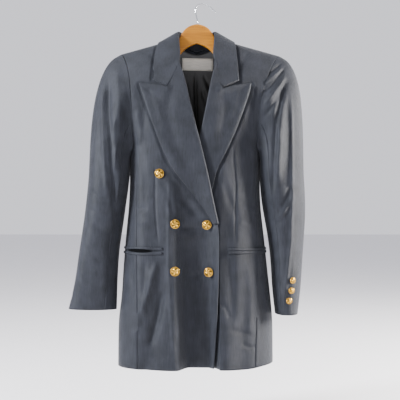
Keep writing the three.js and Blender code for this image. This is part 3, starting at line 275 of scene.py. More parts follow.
def beech_material(settings):
    """Beech, stained yellow and varnished: fine grain along the arms under a thin gloss."""
    material, tree, shader, coords = start_material("varnished_beech")
    # Grain lines are 1 mm apart and drawn 3.5 mm apart; the figure between them runs in bands of 30 mm.
    along_grain = add_node(tree, "ShaderNodeMapping", Vector=coords, Scale=(0.06, 1, 1)).outputs[0]
    grain = add_node(
        tree, "ShaderNodeTexNoise", Vector=along_grain, Scale=per_metre(3.5), Detail=6.0, Roughness=0.6
    ).outputs[0]
    figure = add_node(
        tree, "ShaderNodeTexNoise", Vector=along_grain, Scale=per_metre(30), Detail=3.0
    ).outputs[0]
    both = add_node(tree, "ShaderNodeMath", {"operation": "ADD"}, i0=grain, i1=figure).outputs[0]
    share = add_node(tree, "ShaderNodeMapRange", i0=both, i1=0.75, i2=1.2).outputs[0]
    tones = {"i6": (*settings.wood_dark, 1), "i7": (*settings.wood_light, 1)}
    base = add_node(tree, "ShaderNodeMix", {"data_type": "RGBA"}, i0=share, **tones).outputs[2]
    tree.links.new(base, shader.inputs["Base Color"])
    relief = add_node(tree, "ShaderNodeBump", Height=grain, Distance=0.00015, Strength=0.4).outputs[0]
    tree.links.new(relief, shader.inputs["Normal"])
    shader.inputs["Roughness"].default_value = 0.5
    shader.inputs["IOR"].default_value = 1.52
    shader.inputs["Specular IOR Level"].default_value = 0.25
    shader.inputs["Coat Weight"].default_value = 0.2
    shader.inputs["Coat Roughness"].default_value = 0.16
    return material


def steel_material(settings):
    """Steel wire, drawn and bright plated: sharp highlights, slightly dulled by handling."""
    material, tree, shader, coords = start_material("plated_steel")
    # Handling dulls it in patches of some 3 mm.
    wear = add_node(tree, "ShaderNodeTexNoise", Vector=coords, Scale=per_metre(3), Detail=4.0).outputs[0]
    share = add_node(tree, "ShaderNodeMapRange", i0=wear, i1=0.3, i2=0.7).outputs[0]
    tones = {"i6": (*[c * 0.8 for c in settings.hook], 1), "i7": (*settings.hook, 1)}
    base = add_node(tree, "ShaderNodeMix", {"data_type": "RGBA"}, i0=share, **tones).outputs[2]
    tree.links.new(base, shader.inputs["Base Color"])
    shader.inputs["Metallic"].default_value = 1.0
    shader.inputs["Roughness"].default_value = 0.27
    return material


def floor_material(settings):
    """Matt emulsion on a studio floor, rolled on: even, with clouds too faint to draw the eye."""
    material, tree, shader, coords = start_material("studio_floor")
    # Roller marks are some 120 mm wide.
    clouds = add_node(tree, "ShaderNodeTexNoise", Vector=coords, Scale=per_metre(120), Detail=2.0).outputs[0]
    tones = {"i6": (*[c * 0.97 for c in settings.floor], 1), "i7": (*settings.floor, 1)}
    base = add_node(tree, "ShaderNodeMix", {"data_type": "RGBA"}, i0=clouds, **tones).outputs[2]
    tree.links.new(base, shader.inputs["Base Color"])
    shader.inputs["Roughness"].default_value = 0.9
    return material


def material(name, maker, settings):
    """The material of that name, made once."""
    return bpy.data.materials.get(name) or maker(settings)


# Creases, measured on the photograph in millimetres from its datum. A path lists places (x, height); depth
# is inwards, a negative one is a ridge, and width is half the crease's width.

Crease = namedtuple("Crease", "path depth width")

FRONT_CREASES = [
    # front darts and their seams
    Crease([(-105, -384), (-105, -478), (-102, -522), (-97, -571)], 1.6, 3.0),
    Crease([(77, -333), (79, -372), (84, -430), (84, -571)], 1.6, 3.0),
    # the hanging fold below the right pocket
    Crease([(-100, -608), (-118, -668), (-140, -738)], -5.4, 8.0),
    Crease([(-84, -672), (-98, -740), (-118, -812)], 5.0, 8.0),
    Crease([(-128, -600), (-131, -668), (-127, -730)], 1.8, 6.0),
    # the ridge beside the sunken middle, and the ridge of the front edge
    Crease([(-72, -400), (-73, -480), (-73, -640), (-66, -760), (-56, -860)], -1.6, 4.5),
    Crease([(30, -560), (28, -700), (18, -860)], 2.0, 6.0),
    # the sunken middle between the two rows of buttons
    Crease([(-16, -540), (-20, -640), (-24, -760), (-26, -880)], 5.0, 20.0),
    # the hollow beside the right lapel's lower edge
    Crease([(-92, -350), (-66, -410), (-30, -470), (0, -516)], 3.4, 12.0),
    # soft drags to the upper buttons
    Crease([(-92, -418), (-74, -452), (-60, -508)], 1.6, 6.0),
    Crease([(-86, -424), (-42, -470), (4, -512)], 1.4, 7.0),
    Crease([(-50, -528), (-20, -534), (8, -528)], 1.5, 5.0),
    Crease([(-50, -540), (-18, -556), (10, -540)], -1.2, 6.0),
    Crease([(-52, -636), (-18, -646), (14, -640)], 1.5, 6.0),
    Crease([(-58, -650), (-60, -720), (-54, -800)], -1.6, 7.0),
    Crease([(24, -648), (20, -720), (8, -820)], 1.6, 7.0),
    # left front: press marks and the ease below the pocket
    Crease([(66, -768), (96, -774), (126, -782)], 1.1, 4.0),
    Crease([(70, -600), (76, -680), (74, -760)], 1.4, 9.0),
    Crease([(116, -604), (122, -690), (116, -800)], -1.6, 10.0),
    Crease([(54, -420), (70, -470), (96, -520)], 1.2, 8.0),
    Crease([(120, -360), (112, -430), (118, -500)], 1.3, 8.0),
    Crease([(-140, -350), (-128, -420), (-134, -500)], 1.3, 9.0),
    # short breaks below the pockets and at the hem
    Crease([(-170, -600), (-158, -640), (-160, -700)], 1.8, 5.0),
    Crease([(-158, -690), (-146, -736), (-150, -790)], -1.8, 6.0),
    Crease([(-172, -752), (-150, -764), (-128, -758)], 1.3, 4.0),
    Crease([(-112, -830), (-92, -838), (-74, -828)], 1.4, 5.0),
    Crease([(150, -610), (144, -680), (150, -760)], 1.8, 7.0),
    Crease([(96, -800), (118, -812), (140, -806)], 1.3, 4.0),
    Crease([(44, -700), (60, -716), (70, -744)], 1.2, 5.0),
    # slack at the waist
    Crease([(-170, -470), (-146, -488), (-120, -484)], 1.6, 6.0),
    Crease([(-168, -506), (-140, -520), (-112, -512)], -1.3, 6.0),
    Crease([(94, -470), (116, -484), (138, -476)], 1.5, 6.0),
    Crease([(90, -516), (112, -526), (136, -518)], -1.2, 6.0),
    # chest
    Crease([(-150, -190), (-132, -250), (-134, -310)], 2.2, 10.0),
    Crease([(134, -190), (120, -250), (122, -310)], 2.2, 9.0),
    Crease([(-150, -250), (-140, -300), (-146, -340)], -1.4, 7.0),
    Crease([(-122, -112), (-96, -150), (-84, -180)], 1.2, 8.0),
    Crease([(120, -110), (98, -140), (86, -170)], 1.2, 8.0),
]
BACK_CREASES = [
    Crease([(-150, -160), (-128, -230), (-120, -320)], 2.6, 12.0),
    Crease([(140, -160), (116, -230), (108, -320)], 2.6, 12.0),
    Crease([(-60, -130), (-10, -150), (44, -130)], 1.6, 9.0),
    Crease([(-110, -430), (-60, -452), (-20, -440)], 1.8, 8.0),
    Crease([(12, -446), (60, -462), (104, -440)], 1.6, 8.0),
    Crease([(-96, -470), (-50, -486), (-16, -480)], -1.4, 7.0),
    Crease([(-80, -560), (-88, -700), (-84, -850)], 2.4, 12.0),
    Crease([(-30, -520), (-36, -700), (-40, -850)], -2.0, 12.0),
    Crease([(46, -540), (56, -700), (60, -850)], 2.4, 12.0),
    Crease([(100, -560), (108, -700), (112, -850)], -1.8, 11.0),
]
RIGHT_SLEEVE_CREASES = [
    # the long groove down the front, its lit edge and the thin line outside it
    Crease(
        [(-222, -160), (-219, -230), (-214, -280), (-208, -345), (-203, -410), (-200, -480), (-196, -540)],
        6.5,
        7.5,
    ),
    Crease([(-233, -180), (-232, -250), (-229, -320), (-224, -390), (-218, -470)], -3.0, 5.0),
    Crease([(-243, -205), (-251, -265), (-258, -345)], 1.6, 3.5),
    Crease([(-198, -150), (-196, -200), (-190, -280), (-182, -360)], -2.6, 8.0),
    Crease([(-262, -440), (-238, -462), (-212, -470)], 2.0, 6.0),
    Crease([(-262, -486), (-240, -500), (-206, -498)], 1.8, 6.0),
    Crease([(-252, -520), (-230, -540), (-204, -548)], 1.6, 7.0),
    Crease([(-262, -560), (-268, -640), (-272, -720)], 1.6, 10.0),
    Crease([(-226, -560), (-228, -640), (-232, -700)], -1.8, 9.0),
    Crease([(-250, -600), (-236, -612), (-222, -606)], 1.2, 4.0),
    Crease([(-286, -640), (-262, -646), (-240, -640)], -0.9, 4.0),
    # hem line of the cuff and its pucker
    Crease([(-300, -672), (-260, -676), (-204, -676)], 0.9, 2.2),
    Crease([(-206, -664), (-202, -684)], 2.0, 3.0),
]
LEFT_SLEEVE_CREASES = [
    # the deep groove from the shoulder point, and the drags beside it
    Crease(
        [
            (214, -176), (203, -190), (196, -214), (188, -238), (181, -275), (177, -322), (174, -372),
            (171, -430), (169, -460),
        ],
        5.4,
        6.0,
    ),
    Crease([(204, -150), (186, -172), (166, -200), (148, -214)], 3.0, 4.5),
    Crease([(196, -138), (178, -154), (156, -172), (146, -178)], 2.6, 4.0),
    Crease([(200, -145), (182, -163), (158, -186), (146, -196)], -2.2, 3.5),
    Crease([(206, -166), (188, -196), (164, -228), (150, -240)], -2.6, 4.0),
    Crease([(200, -190), (182, -226), (162, -256), (148, -270)], 2.6, 5.0),
    Crease([(206, -196), (196, -250), (188, -330), (184, -420)], -2.6, 7.0),
    # the sharp edge between the front and the outer face
    Crease(
        [(216, -196), (217, -300), (217, -460), (214, -560), (206, -640), (198, -700), (195, -740)],
        -3.4,
        4.5,
    ),
    Crease([(228, -260), (230, -360), (230, -460)], 1.5, 9.0),
    # elbow
    Crease([(220, -428), (206, -458), (190, -486)], 2.6, 5.0),
    Crease([(222, -452), (206, -484), (186, -510)], -2.0, 5.0),
    Crease([(216, -476), (200, -508), (176, -522)], 2.2, 5.0),
    Crease([(180, -560), (184, -620), (190, -690)], 1.8, 7.0),
    Crease([(232, -500), (234, -560), (230, -630)], 1.4, 8.0),
]
LAPEL_CREASES = [
    Crease([(-60, -195), (-78, -250), (-58, -330), (-20, -400)], 2.2, 11.0),
    Crease([(-112, -206), (-98, -258), (-82, -318)], -1.4, 8.0),
    Crease([(-126, -200), (-110, -222), (-92, -226)], 1.0, 4.0),
    Crease([(52, -205), (64, -250), (48, -320)], 1.9, 10.0),
    Crease([(92, -200), (84, -240), (70, -280)], -1.2, 7.0),
]


def path_distance(places, path):
    """Distance of each place to a path, and how far along it lies, 0 to 1."""
    path = np.array(path, float)
    steps = np.diff(path, axis=0)
    lengths = np.linalg.norm(steps, axis=1)
    starts = np.concatenate([[0], np.cumsum(lengths)]) / lengths.sum()
    nearest = np.full(len(places), 1e9)
    along = np.zeros(len(places))
    for i, step in enumerate(steps):
        t = np.clip((places - path[i]) @ step / (step @ step), 0, 1)
        distance = np.linalg.norm(places - path[i] - t[:, None] * step, axis=1)
        closer = distance < nearest
        nearest[closer] = distance[closer]
        along[closer] = (starts[i] + t * (starts[i + 1] - starts[i]))[closer]
    return nearest, along


CREASE_END = 5  # a crease fades over one part in that many of its length, at both ends
CREASE_END_SHARE = 0.12  # the share of its depth that is left at its very end


def crease_depth(places, creases):
    """Depth of all creases at each place, in metres. Each one fades out at its ends."""
    depth = np.zeros(len(places))
    for crease in creases:
        distance, along = path_distance(places, crease.path)
        fade = np.clip(np.minimum(along, 1 - along) * CREASE_END + CREASE_END_SHARE, 0, 1)
        fade = fade * fade * (3 - 2 * fade)
        shape = np.exp(-((distance / crease.width) ** 2))
        depth += crease.depth * fade * shape
    return depth * MM


def smooth(low, high, value):
    """An eased step from 0 at low to 1 at high."""
    t = np.clip((value - low) / (high - low), 0, 1)
    return t * t * (3 - 2 * t)


def ripple(places, seed, size):
    """A slow uneven wave that keeps broad cloth from looking ruled."""
    x, z = places.T / size
    a = np.sin(x * 1.0 + seed) * np.cos(z * 0.7 - seed * 1.7)
    b = np.sin(x * 2.3 - z * 1.1 + seed * 2.1) * 0.5
    return (a + b) / 1.5


ARMHOLES = [  # the armhole seams on the front, mm from the datum
    [(-168, -140), (-168, -183), (-163, -218), (-160, -265), (-158, -301), (-156, -343)],
    [(139, -140), (139, -218), (137, -242), (132, -277), (130, -324), (130, -343)],
]


def armhole_distance(places):
    """Distance to the nearer armhole seam, in mm."""
    return np.minimum(*[path_distance(places, line)[0] for line in ARMHOLES])


def seam_fade(places):
    """Creases die out at the armhole seams, so that the sleeves stay joined to the body."""
    return smooth(1, 12, armhole_distance(places))


EDGE_TREE = []  # the collar's and the lapels' points, gathered once
PRESS_DEPTH = 2.4 * MM
PRESS_REACH = (10, 3)  # mm from the collar's or the lapel's cloth: where the press starts and is full


def edge_press(points):
    """How far the chest and the neck are pressed in along the collar and the lapels, in metres."""
    if not EDGE_TREE:
        pieces = [bpy.data.objects[name] for name in ("collar_leaf", "peak_lapel_right", "peak_lapel_left")]
        outer = np.concatenate([points_of(piece.data) for piece in pieces])
        tree = KDTree(len(outer))
        for i, point in enumerate(outer):
            tree.insert(point, i)
        tree.balance()
        EDGE_TREE.append(tree)
    distance = np.array([EDGE_TREE[0].find(point)[2] for point in points]) / MM
    return PRESS_DEPTH * smooth(*PRESS_REACH, distance)


FRONT_TO_BACK = (-0.02, 0.004)  # metres along Y: the front's creases give way to the back's
STILL_SIDE = 0.02  # metres from the side to where the cloth moves in full
SKIRT = (-330, -520)  # heights in mm between which the waves grow
FRONT_SHARE = 1.25  # the fronts' creases are laid in that much deeper
BODY_WAVE = (1.3, 38)  # start, and size in mm, of the slow waves
BODY_WAVE_DEPTH = (0.35, 0.5)  # mm on the chest, and what the skirt adds


def body_folds(points, pressed=True):
    """Moves points of the front or the back along Y, and presses them in along the collar and the lapels."""
    places = (points - DATUM)[:, [0, 2]] / MM
    front = 1 - smooth(*FRONT_TO_BACK, points[:, 1])
    lower = smooth(*SKIRT, places[:, 1])
    wave = BODY_WAVE_DEPTH[0] + BODY_WAVE_DEPTH[1] * lower
    depth = crease_depth(places, FRONT_CREASES) * front * FRONT_SHARE
    depth -= crease_depth(places, BACK_CREASES) * (1 - front)
    depth += ripple(places, *BODY_WAVE) * MM * wave * (2 * front - 1)
    if pressed:
        depth += edge_press(points) * (2 * front - 1)
    moved = points.copy()
    moved[:, 1] += depth * smooth(0, STILL_SIDE, abs(points[:, 1])) * seam_fade(places)
    return moved


SLEEVE_AXIS = {  # height, x, y of the middle of each sleeve, from the datum
    "right": [(-120, -190, 0), (-345, -212, -5), (-466, -226, -8), (-587, -242, -11), (-728, -258, -17)],
    "left": [(-120, 190, 0), (-345, 190, -5), (-490, 203, -8), (-600, 208, -10), (-738, 207, -12)],
}


SLEEVE_FRONT = (-0.004, 0.012)  # metres before the axis: where the front's creases start and are full
UNDER_SHARE = 0.75  # depth of the under sleeve's creases, against the same ones in front
UNDER_SHIFT = (4, 26)  # mm outwards and down from the ones in front
SLEEVE_WAVE = (2.2, 24)  # start, and size in mm, of the slow waves
SLEEVE_WAVE_DEPTH = 0.5  # mm
NEAR_AXIS = (0.006, 0.02)  # metres from the axis: nothing moves closer in
SEAM_REACH = (4, 16)  # mm from the armhole seam
SEAM_HEIGHTS = (-214, -262)  # mm: below them the front of the armhole closes on the body
SEAM_SHIFT = 2.2 * MM


def sleeve_folds(points, side):
    """Moves points of a sleeve towards its own middle."""
    table = np.array(SLEEVE_AXIS[side], float)[::-1]
    heights = (points[:, 2] - DATUM[2]) / MM
    middle = np.stack(
        [
            np.interp(heights, table[:, 0], table[:, 1]) * MM + DATUM[0],
            np.interp(heights, table[:, 0], table[:, 2]) * MM,
        ],
        axis=1,
    )
    toward = middle - points[:, :2]
    reach = np.linalg.norm(toward, axis=1)
    toward /= np.maximum(reach, 1e-6)[:, None]
    places = (points - DATUM)[:, [0, 2]] / MM
    creases = RIGHT_SLEEVE_CREASES if side == "right" else LEFT_SLEEVE_CREASES
    front = smooth(*SLEEVE_FRONT, middle[:, 1] - points[:, 1])
    sign = -1 if side == "right" else 1
    mirrored = places * 1.0
    mirrored[:, 0] = 2 * (middle[:, 0] - DATUM[0]) / MM - places[:, 0] + sign * UNDER_SHIFT[0]
    start, size = SLEEVE_WAVE
    depth = crease_depth(places, creases) * front
    depth += crease_depth(mirrored + (0, UNDER_SHIFT[1]), creases) * (1 - front) * UNDER_SHARE
    depth += ripple(places * (1, 0.8), start + sign, size) * MM * SLEEVE_WAVE_DEPTH
    near_cap = smooth(*NEAR_AXIS, reach) * seam_fade(places)
    moved = points.copy()
    moved[:, :2] += toward * (depth * near_cap)[:, None]
    at_seam = (1 - smooth(*SEAM_REACH, armhole_distance(places))) * smooth(*SEAM_HEIGHTS, places[:, 1])
    moved[:, 0] -= sign * SEAM_SHIFT * at_seam * (points[:, 1] < 0.0)
    return moved


MOUTH_MIDDLE = (-142, -585)  # across and height of the right pocket's mouth, mm from the datum
MOUTH_HALF = 31  # mm, half its width
MOUTH_GAPE = 1.5 * MM  # how far each jet gives way at the middle


def open_mouth(points, part):
    """The right pocket gapes a little between its jets."""
    places = (points - DATUM)[:, [0, 2]] / MM
    share = np.clip(abs(places[:, 0] - MOUTH_MIDDLE[0]) / MOUTH_HALF, 0, 1)
    moved = points.copy()
    moved[:, 2] += (1 if part == "upper" else -1) * MOUTH_GAPE * (1 - share**2.4)
    return moved


LAPEL_EDGES = [  # the lapels' free edges, mm from the datum
    [(-80, -199), (-146, -188), (-128, -236), (-104, -300), (-62, -375)],
    [(50, -202), (121, -186), (104, -236), (82, -300), (52, -372)],
]
EDGE_LIFT = 3.0 * MM
EDGE_BAND = 18  # mm, width of the band that lifts
EDGE_HEIGHTS = (-400, -330)  # mm: the lift starts at the first and is full from the second up


def lapel_folds(points):
    """The body's own folds and a soft roll, with the free edges standing off the chest."""
    places = (points - DATUM)[:, [0, 2]] / MM
    moved = body_folds(points, pressed=False)
    moved[:, 1] += crease_depth(places, LAPEL_CREASES)
    for edge in LAPEL_EDGES:
        near = 1 - smooth(0, EDGE_BAND, path_distance(places, edge)[0])
        moved[:, 1] -= EDGE_LIFT * near * smooth(*EDGE_HEIGHTS, places[:, 1])
    return moved


LINING_CREASES = [
    Crease([(8, -158), (22, -182), (40, -196)], 1.8, 3.5),
    Crease([(6, -176), (20, -200), (36, -216)], -1.5, 4.0),
    Crease([(4, -196), (16, -226), (30, -238)], 1.6, 4.0),
    Crease([(-38, -170), (-30, -220), (-34, -270)], 1.4, 5.0),
    Crease([(-12, -150), (-10, -260), (-8, -380)], -1.2, 3.0),
    Crease([(26, -150), (24, -260), (18, -360)], 1.2, 6.0),
]


def lining_folds(points):
    """Small wrinkles of the lining behind the neck."""
    places = (points - DATUM)[:, [0, 2]] / MM
    moved = points.copy()
    moved[:, 1] += crease_depth(places, LINING_CREASES)
    return moved


# Shared steps of the modelling


def new_object(name, mesh, mat):
    """An object at the origin that rides on the frame and has one material."""
    obj = bpy.data.objects.new(name, mesh)
    bpy.context.scene.collection.objects.link(obj)
    mesh.materials.clear()
    mesh.materials.append(mat)
    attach(obj, "root")
    return obj


DOUBLE_GAP = 2e-6  # the frame's loose triangles meet within this
QUAD_FACE_ANGLE = 0.6  # two triangles bent less than this are joined into a quad
QUAD_SHAPE_ANGLE = 1.2


def shell_mesh(node, levels, rim_angle=0.9):
    """A finer closed copy of a wall: its quads are restored and subdivided, and its rims stay crisp."""
    work = bmesh.new()
    work.from_mesh(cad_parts[node].data)
    bmesh.ops.remove_doubles(work, verts=work.verts, dist=DOUBLE_GAP)
    bmesh.ops.join_triangles(
        work, faces=work.faces, angle_face_threshold=QUAD_FACE_ANGLE, angle_shape_threshold=QUAD_SHAPE_ANGLE
    )
    crease = work.edges.layers.float.new("crease_edge")
    for edge in work.edges:
        if len(edge.link_faces) == 2 and edge.calc_face_angle(0.0) > rim_angle:
            edge[crease] = 1.0
    rough = bpy.data.meshes.new(f"{node}_rough")
    work.to_mesh(rough)
    work.free()
    holder = bpy.data.objects.new(f"{node}_rough", rough)
    bpy.context.scene.collection.objects.link(holder)
    subdivide = holder.modifiers.new("Subdivide", "SUBSURF")
    subdivide.levels = subdivide.render_levels = levels
    subdivide.boundary_smooth = "PRESERVE_CORNERS"
    graph = bpy.context.evaluated_depsgraph_get()
    mesh = bpy.data.meshes.new_from_object(holder.evaluated_get(graph))
    mesh.name = f"{node}_mesh"
    bpy.data.objects.remove(holder)
    bpy.data.meshes.remove(rough)
    return mesh


def points_of(mesh):
    """The mesh's points as rows of an array."""
    flat = np.empty(len(mesh.vertices) * 3, np.float32)
    mesh.vertices.foreach_get("co", flat)
    return flat.reshape(-1, 3).astype(float)


def set_points(mesh, points):
    """Gives the mesh's points new places."""
    mesh.vertices.foreach_set("co", points.astype(np.float32).ravel())
    mesh.update()


def shade_smooth(mesh, angle=0.9):
    """Smooth faces, with sharp edges kept at the rims."""
    mesh.shade_smooth()
    mesh.set_sharp_from_angle(angle=angle)


def cloth_piece(node, name, levels, folds, mat):
    """A cloth piece on the form of one CAD wall."""
    mesh = shell_mesh(node, levels)
    if folds is not None:
        set_points(mesh, folds(points_of(mesh)))
    shade_smooth(mesh)
    obj = new_object(name, mesh, mat)
    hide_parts(node)
    return obj


class BLAZER_OT_panels(Operator):
    """Build the fronts, backs and side panels"""

    bl_idname = "blazer.panels"
    bl_label = "Body Panels"

    def execute(self, context):
        mat = material("worsted_wool", wool_material, context.scene.blazer_cloth)
        for side in ("right", "left"):
            cloth_piece(f"front_{side}", f"front_panel_{side}", 3, body_folds, mat)
            cloth_piece(f"back_{side}", f"back_panel_{side}", 2, body_folds, mat)
            cloth_piece(f"side_{side}", f"side_panel_{side}", 2, body_folds, mat)
        return {"FINISHED"}


class BLAZER_OT_sleeves(Operator):
    """Build both sleeves, each from its top and under part"""

    bl_idname = "blazer.sleeves"
    bl_label = "Sleeves"

    def execute(self, context):
        mat = material("worsted_wool", wool_material, context.scene.blazer_cloth)
        for side in ("right", "left"):
            for part in ("top", "under"):
                cloth_piece(
                    f"sleeve_{part}_{side}",
                    f"{part}_sleeve_{side}",
                    3 if part == "top" else 2,
                    lambda points, side=side: sleeve_folds(points, side),
                    mat,
                )
        return {"FINISHED"}


class BLAZER_OT_collar(Operator):
    """Build the collar and the two peak lapels"""

    bl_idname = "blazer.collar"
    bl_label = "Collar and Lapels"

    def execute(self, context):
        mat = material("worsted_wool", wool_material, context.scene.blazer_cloth)
        cloth_piece("collar", "collar_leaf", 3, None, mat)
        for side in ("right", "left"):
            cloth_piece(f"lapel_{side}", f"peak_lapel_{side}", 3, lapel_folds, mat)
        return {"FINISHED"}


BAG_HALF = 3.4  # mm, half the height of the cloth in the pocket's mouth, drawn as painted shade
BAG_OFF = 0.9 * MM  # how far it stands off the panel
BAG_THICK = 0.3 * MM
BEFORE_BODY = -0.3  # metres along Y, clear of the front


class BLAZER_OT_pockets(Operator):
    """Build the jets of both pockets, and the right pocket's mouth between its jets as a strip in painted
    shade
    """

    bl_idname = "blazer.pockets"
    bl_label = "Pockets"

    def execute(self, context):
        cloth = context.scene.blazer_cloth
        mat = material("worsted_wool", wool_material, cloth)
        for side in ("right", "left"):
            for part in ("upper", "lower"):
                cloth_piece(
                    f"jet_{part}_{side}",
                    f"pocket_jet_{part}_{side}",
                    2,
                    lambda points, part=part: open_mouth(body_folds(points), part),
                    mat,
                )
        # The strip in the right pocket's mouth is near black, as painted shade.
        mouth_shade = material("pocketing_painted_shade", shaded_pocketing_material, cloth)
        graph = bpy.context.evaluated_depsgraph_get()
        names = ("front_panel_right", "side_panel_right")
        panels = [BVHTree.FromObject(bpy.data.objects[name], graph) for name in names]
        work = bmesh.new()
        bmesh.ops.create_grid(work, x_segments=32, y_segments=2, size=1.0)
        for vert in work.verts:
            across, up = vert.co.x, vert.co.y
            x = DATUM[0] + (MOUTH_MIDDLE[0] + across * MOUTH_HALF) * MM
            z = DATUM[2] + (MOUTH_MIDDLE[1] + up * BAG_HALF * (1 - abs(across) ** 2.4)) * MM
            # looked for on both panels and a little to each side, as their seam runs through the mouth
            starts = [Vector((x + aside * MM, BEFORE_BODY, z)) for aside in (-1, 0, 1)]
            hits = [panel.ray_cast(start, Vector((0, 1, 0)))[0] for panel in panels for start in starts]
            vert.co = Vector((x, min(hit.y for hit in hits if hit) - BAG_OFF, z))
        bmesh.ops.solidify(work, geom=work.faces, thickness=BAG_THICK)
        bmesh.ops.recalc_face_normals(work, faces=work.faces)
        mesh = bpy.data.meshes.new("pocket_mouth_right_mesh")
        work.to_mesh(mesh)
        work.free()
        mesh.shade_smooth()
        mouth = new_object("pocket_mouth_right", mesh, mouth_shade)
        return {"FINISHED"}


class BLAZER_OT_lining(Operator):
    """Build the back lining with its pleat and the bare label"""

    bl_idname = "blazer.lining"
    bl_label = "Lining and Label"

    def execute(self, context):
        cloth = context.scene.blazer_cloth
        satin = material("satin_lining", lining_material, cloth)
        cloth_piece("lining_back", "back_lining", 3, lining_folds, satin)
        woven = material("woven_label_satin", label_material, cloth)
        cloth_piece("neck_label", "bare_neck_label", 2, None, woven)
        return {"FINISHED"}


BUTTON_PROFILE = [  # share of the radius, height in mm for a button of 22 mm
    (0.0, 0.0),
    (0.86, 0.0),
    (0.93, 0.3),
    (0.985, 0.9),
    (1.0, 1.5),
    (0.985, 2.1),
    (0.93, 2.6),
    (0.87, 2.7),
    (0.81, 2.5),
    (0.76, 2.2),
    (0.70, 2.5),
    (0.65, 2.9),
    (0.60, 3.2),
    (0.54, 3.6),
    (0.48, 3.9),
    (0.42, 4.2),
    (0.36, 4.4),
    (0.30, 4.6),
    (0.24, 4.7),
    (0.18, 4.6),
    (0.12, 4.9),
    (0.0, 5.0),
]
BUTTON_RADIUS = 0.011
BUTTON_SEGMENTS = 96
BUTTON_LOBES = 5
RELIEF_SPAN = (0.15, 0.74)  # shares of the radius between which the lobes lie
RELIEF_FOOT = 2.3 * MM  # nothing lower belongs to the relief
RELIEF_RISE = 1.5 * MM
LOBE_TWIST = 0.9  # radians over the radius
GROOVE_SPAN = (0.71, 0.84)  # the groove inside the rim, darkened as tarnish and painted shade


def button_mesh(name, radius, centre, axis):
    """A domed button with a rolled rim and a plain lobed relief."""
    work = bmesh.new()
    scale = radius / BUTTON_RADIUS
    verts = [work.verts.new((share * radius, 0, height * MM * scale)) for share, height in BUTTON_PROFILE]
    edges = [work.edges.new(pair) for pair in zip(verts, verts[1:])]
    bmesh.ops.spin(
        work,
        geom=verts + edges,
        cent=(0, 0, 0),
        axis=(0, 0, 1),
        angle=FULL_TURN,
        steps=BUTTON_SEGMENTS,
        use_merge=True,
    )
    bmesh.ops.remove_doubles(work, verts=work.verts, dist=1e-6)
    bmesh.ops.recalc_face_normals(work, faces=work.faces)
    # The recess mark darkens the hollows between the lobes and the groove inside the rim, as tarnish and as
    # painted shade.
    recess = work.verts.layers.float.new("recess")
    for vert in work.verts:
        share = vert.co.to_2d().length / radius
        start, end = RELIEF_SPAN
        if vert.co.z > RELIEF_FOOT * scale and start < share < end:
            turn = np.arctan2(vert.co.y, vert.co.x)
            lobe = abs(np.cos((turn + share * LOBE_TWIST) * BUTTON_LOBES / 2)) ** 0.8
            inside = np.sin(np.pi * (share - start) / (end - start)) ** 0.5
            vert.co.z += (lobe - 0.7) * RELIEF_RISE * scale * inside
            vert[recess] = min(1.0, max(0.0, 0.86 - lobe) * 3.4 * inside)
        elif GROOVE_SPAN[0] < share < GROOVE_SPAN[1]:
            vert[recess] = 0.95
    turned = Vector((0, 0, 1)).rotation_difference(axis).to_matrix().to_4x4()
    work.transform(Matrix.Translation(centre) @ turned)
    mesh = bpy.data.meshes.new(name)
    work.to_mesh(mesh)
    work.free()
    mesh.shade_smooth()
    return mesh


FOOT_BAND = 0.2 * MM  # points this near to a button's lowest one belong to its foot
BUTTON_OFF = 0.2 * MM  # how far a button stands off its CAD place


def button_place(node):
    """Foot, axis and radius of a button in the frame."""
    points = points_of(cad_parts[node].data)
    middle = points.mean(axis=0)
    _, vectors = np.linalg.eigh(np.cov((points - middle).T))
    axis = vectors[:, 0]
    heights = (points - middle) @ axis
    if heights.max() < -heights.min():
        axis, heights = -axis, -heights
    low = heights.min()
    base = points[heights < low + FOOT_BAND]
    rim = base.mean(axis=0)
    radius = np.linalg.norm(np.cross(points - rim, axis), axis=1).max()
    return Vector(rim), Vector(axis), radius


class BLAZER_OT_buttons(Operator):
    """Build the front and cuff buttons"""

    bl_idname = "blazer.buttons"
    bl_label = "Buttons"

    def execute(self, context):
        mat = material("gilt_brass", gilt_material, context.scene.blazer_trim)
        for node in [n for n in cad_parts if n.startswith(("button_", "cuff_button_"))]:
            foot, axis, radius = button_place(node)
            places = np.array([foot[:]])
            if node.startswith("button_"):
                shift = Vector((body_folds(places) - places)[0])
            else:
                side = "right" if "_right_" in node else "left"
                shift = Vector((sleeve_folds(places, side) - places)[0])
            mesh = button_mesh(f"{node}_mesh", radius, foot + shift + axis * BUTTON_OFF, axis)
            obj = new_object(f"gilt_{node}", mesh, mat)
            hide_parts(node)
        return {"FINISHED"}


class BLAZER_OT_hanger(Operator):
    """Build the wooden hanger and its hook"""

    bl_idname = "blazer.hanger"
    bl_label = "Hanger"

    def execute(self, context):
        trim = context.scene.blazer_trim
        body = shell_mesh("hanger_body", 2, rim_angle=1.3)
        shade_smooth(body, 0.7)
        beech = material("varnished_beech", beech_material, trim)
        wood = new_object("contoured_hanger", body, beech)
        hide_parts("hanger_body")
        wire = shell_mesh("hanger_hook", 2, rim_angle=1.3)
        shade_smooth(wire, 0.9)
        steel = material("plated_steel", steel_material, trim)
        hook = new_object("wire_hook", wire, steel)
        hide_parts("hanger_hook")
        return {"FINISHED"}


FLOOR_HALF = 12.0
WORLD_STRENGTH = 1.35
WARM_TINT = (1.0, 0.97, 0.92)
COOL_TINT = (0.93, 0.96, 1.0)


def soft_light(name, place, target, size, watts, tint=(1, 1, 1)):
    """A rectangular area light turned to its target."""
    data = bpy.data.lights.new(name, "AREA")
    data.shape = "RECTANGLE"
    data.size, data.size_y = size
    data.energy = watts
    data.color = tint
    obj = bpy.data.objects.new(name, data)
    bpy.context.scene.collection.objects.link(obj)
    obj.location = place
    obj.rotation_euler = (Vector(target) - Vector(place)).to_track_quat("-Z", "Y").to_euler()
    return obj


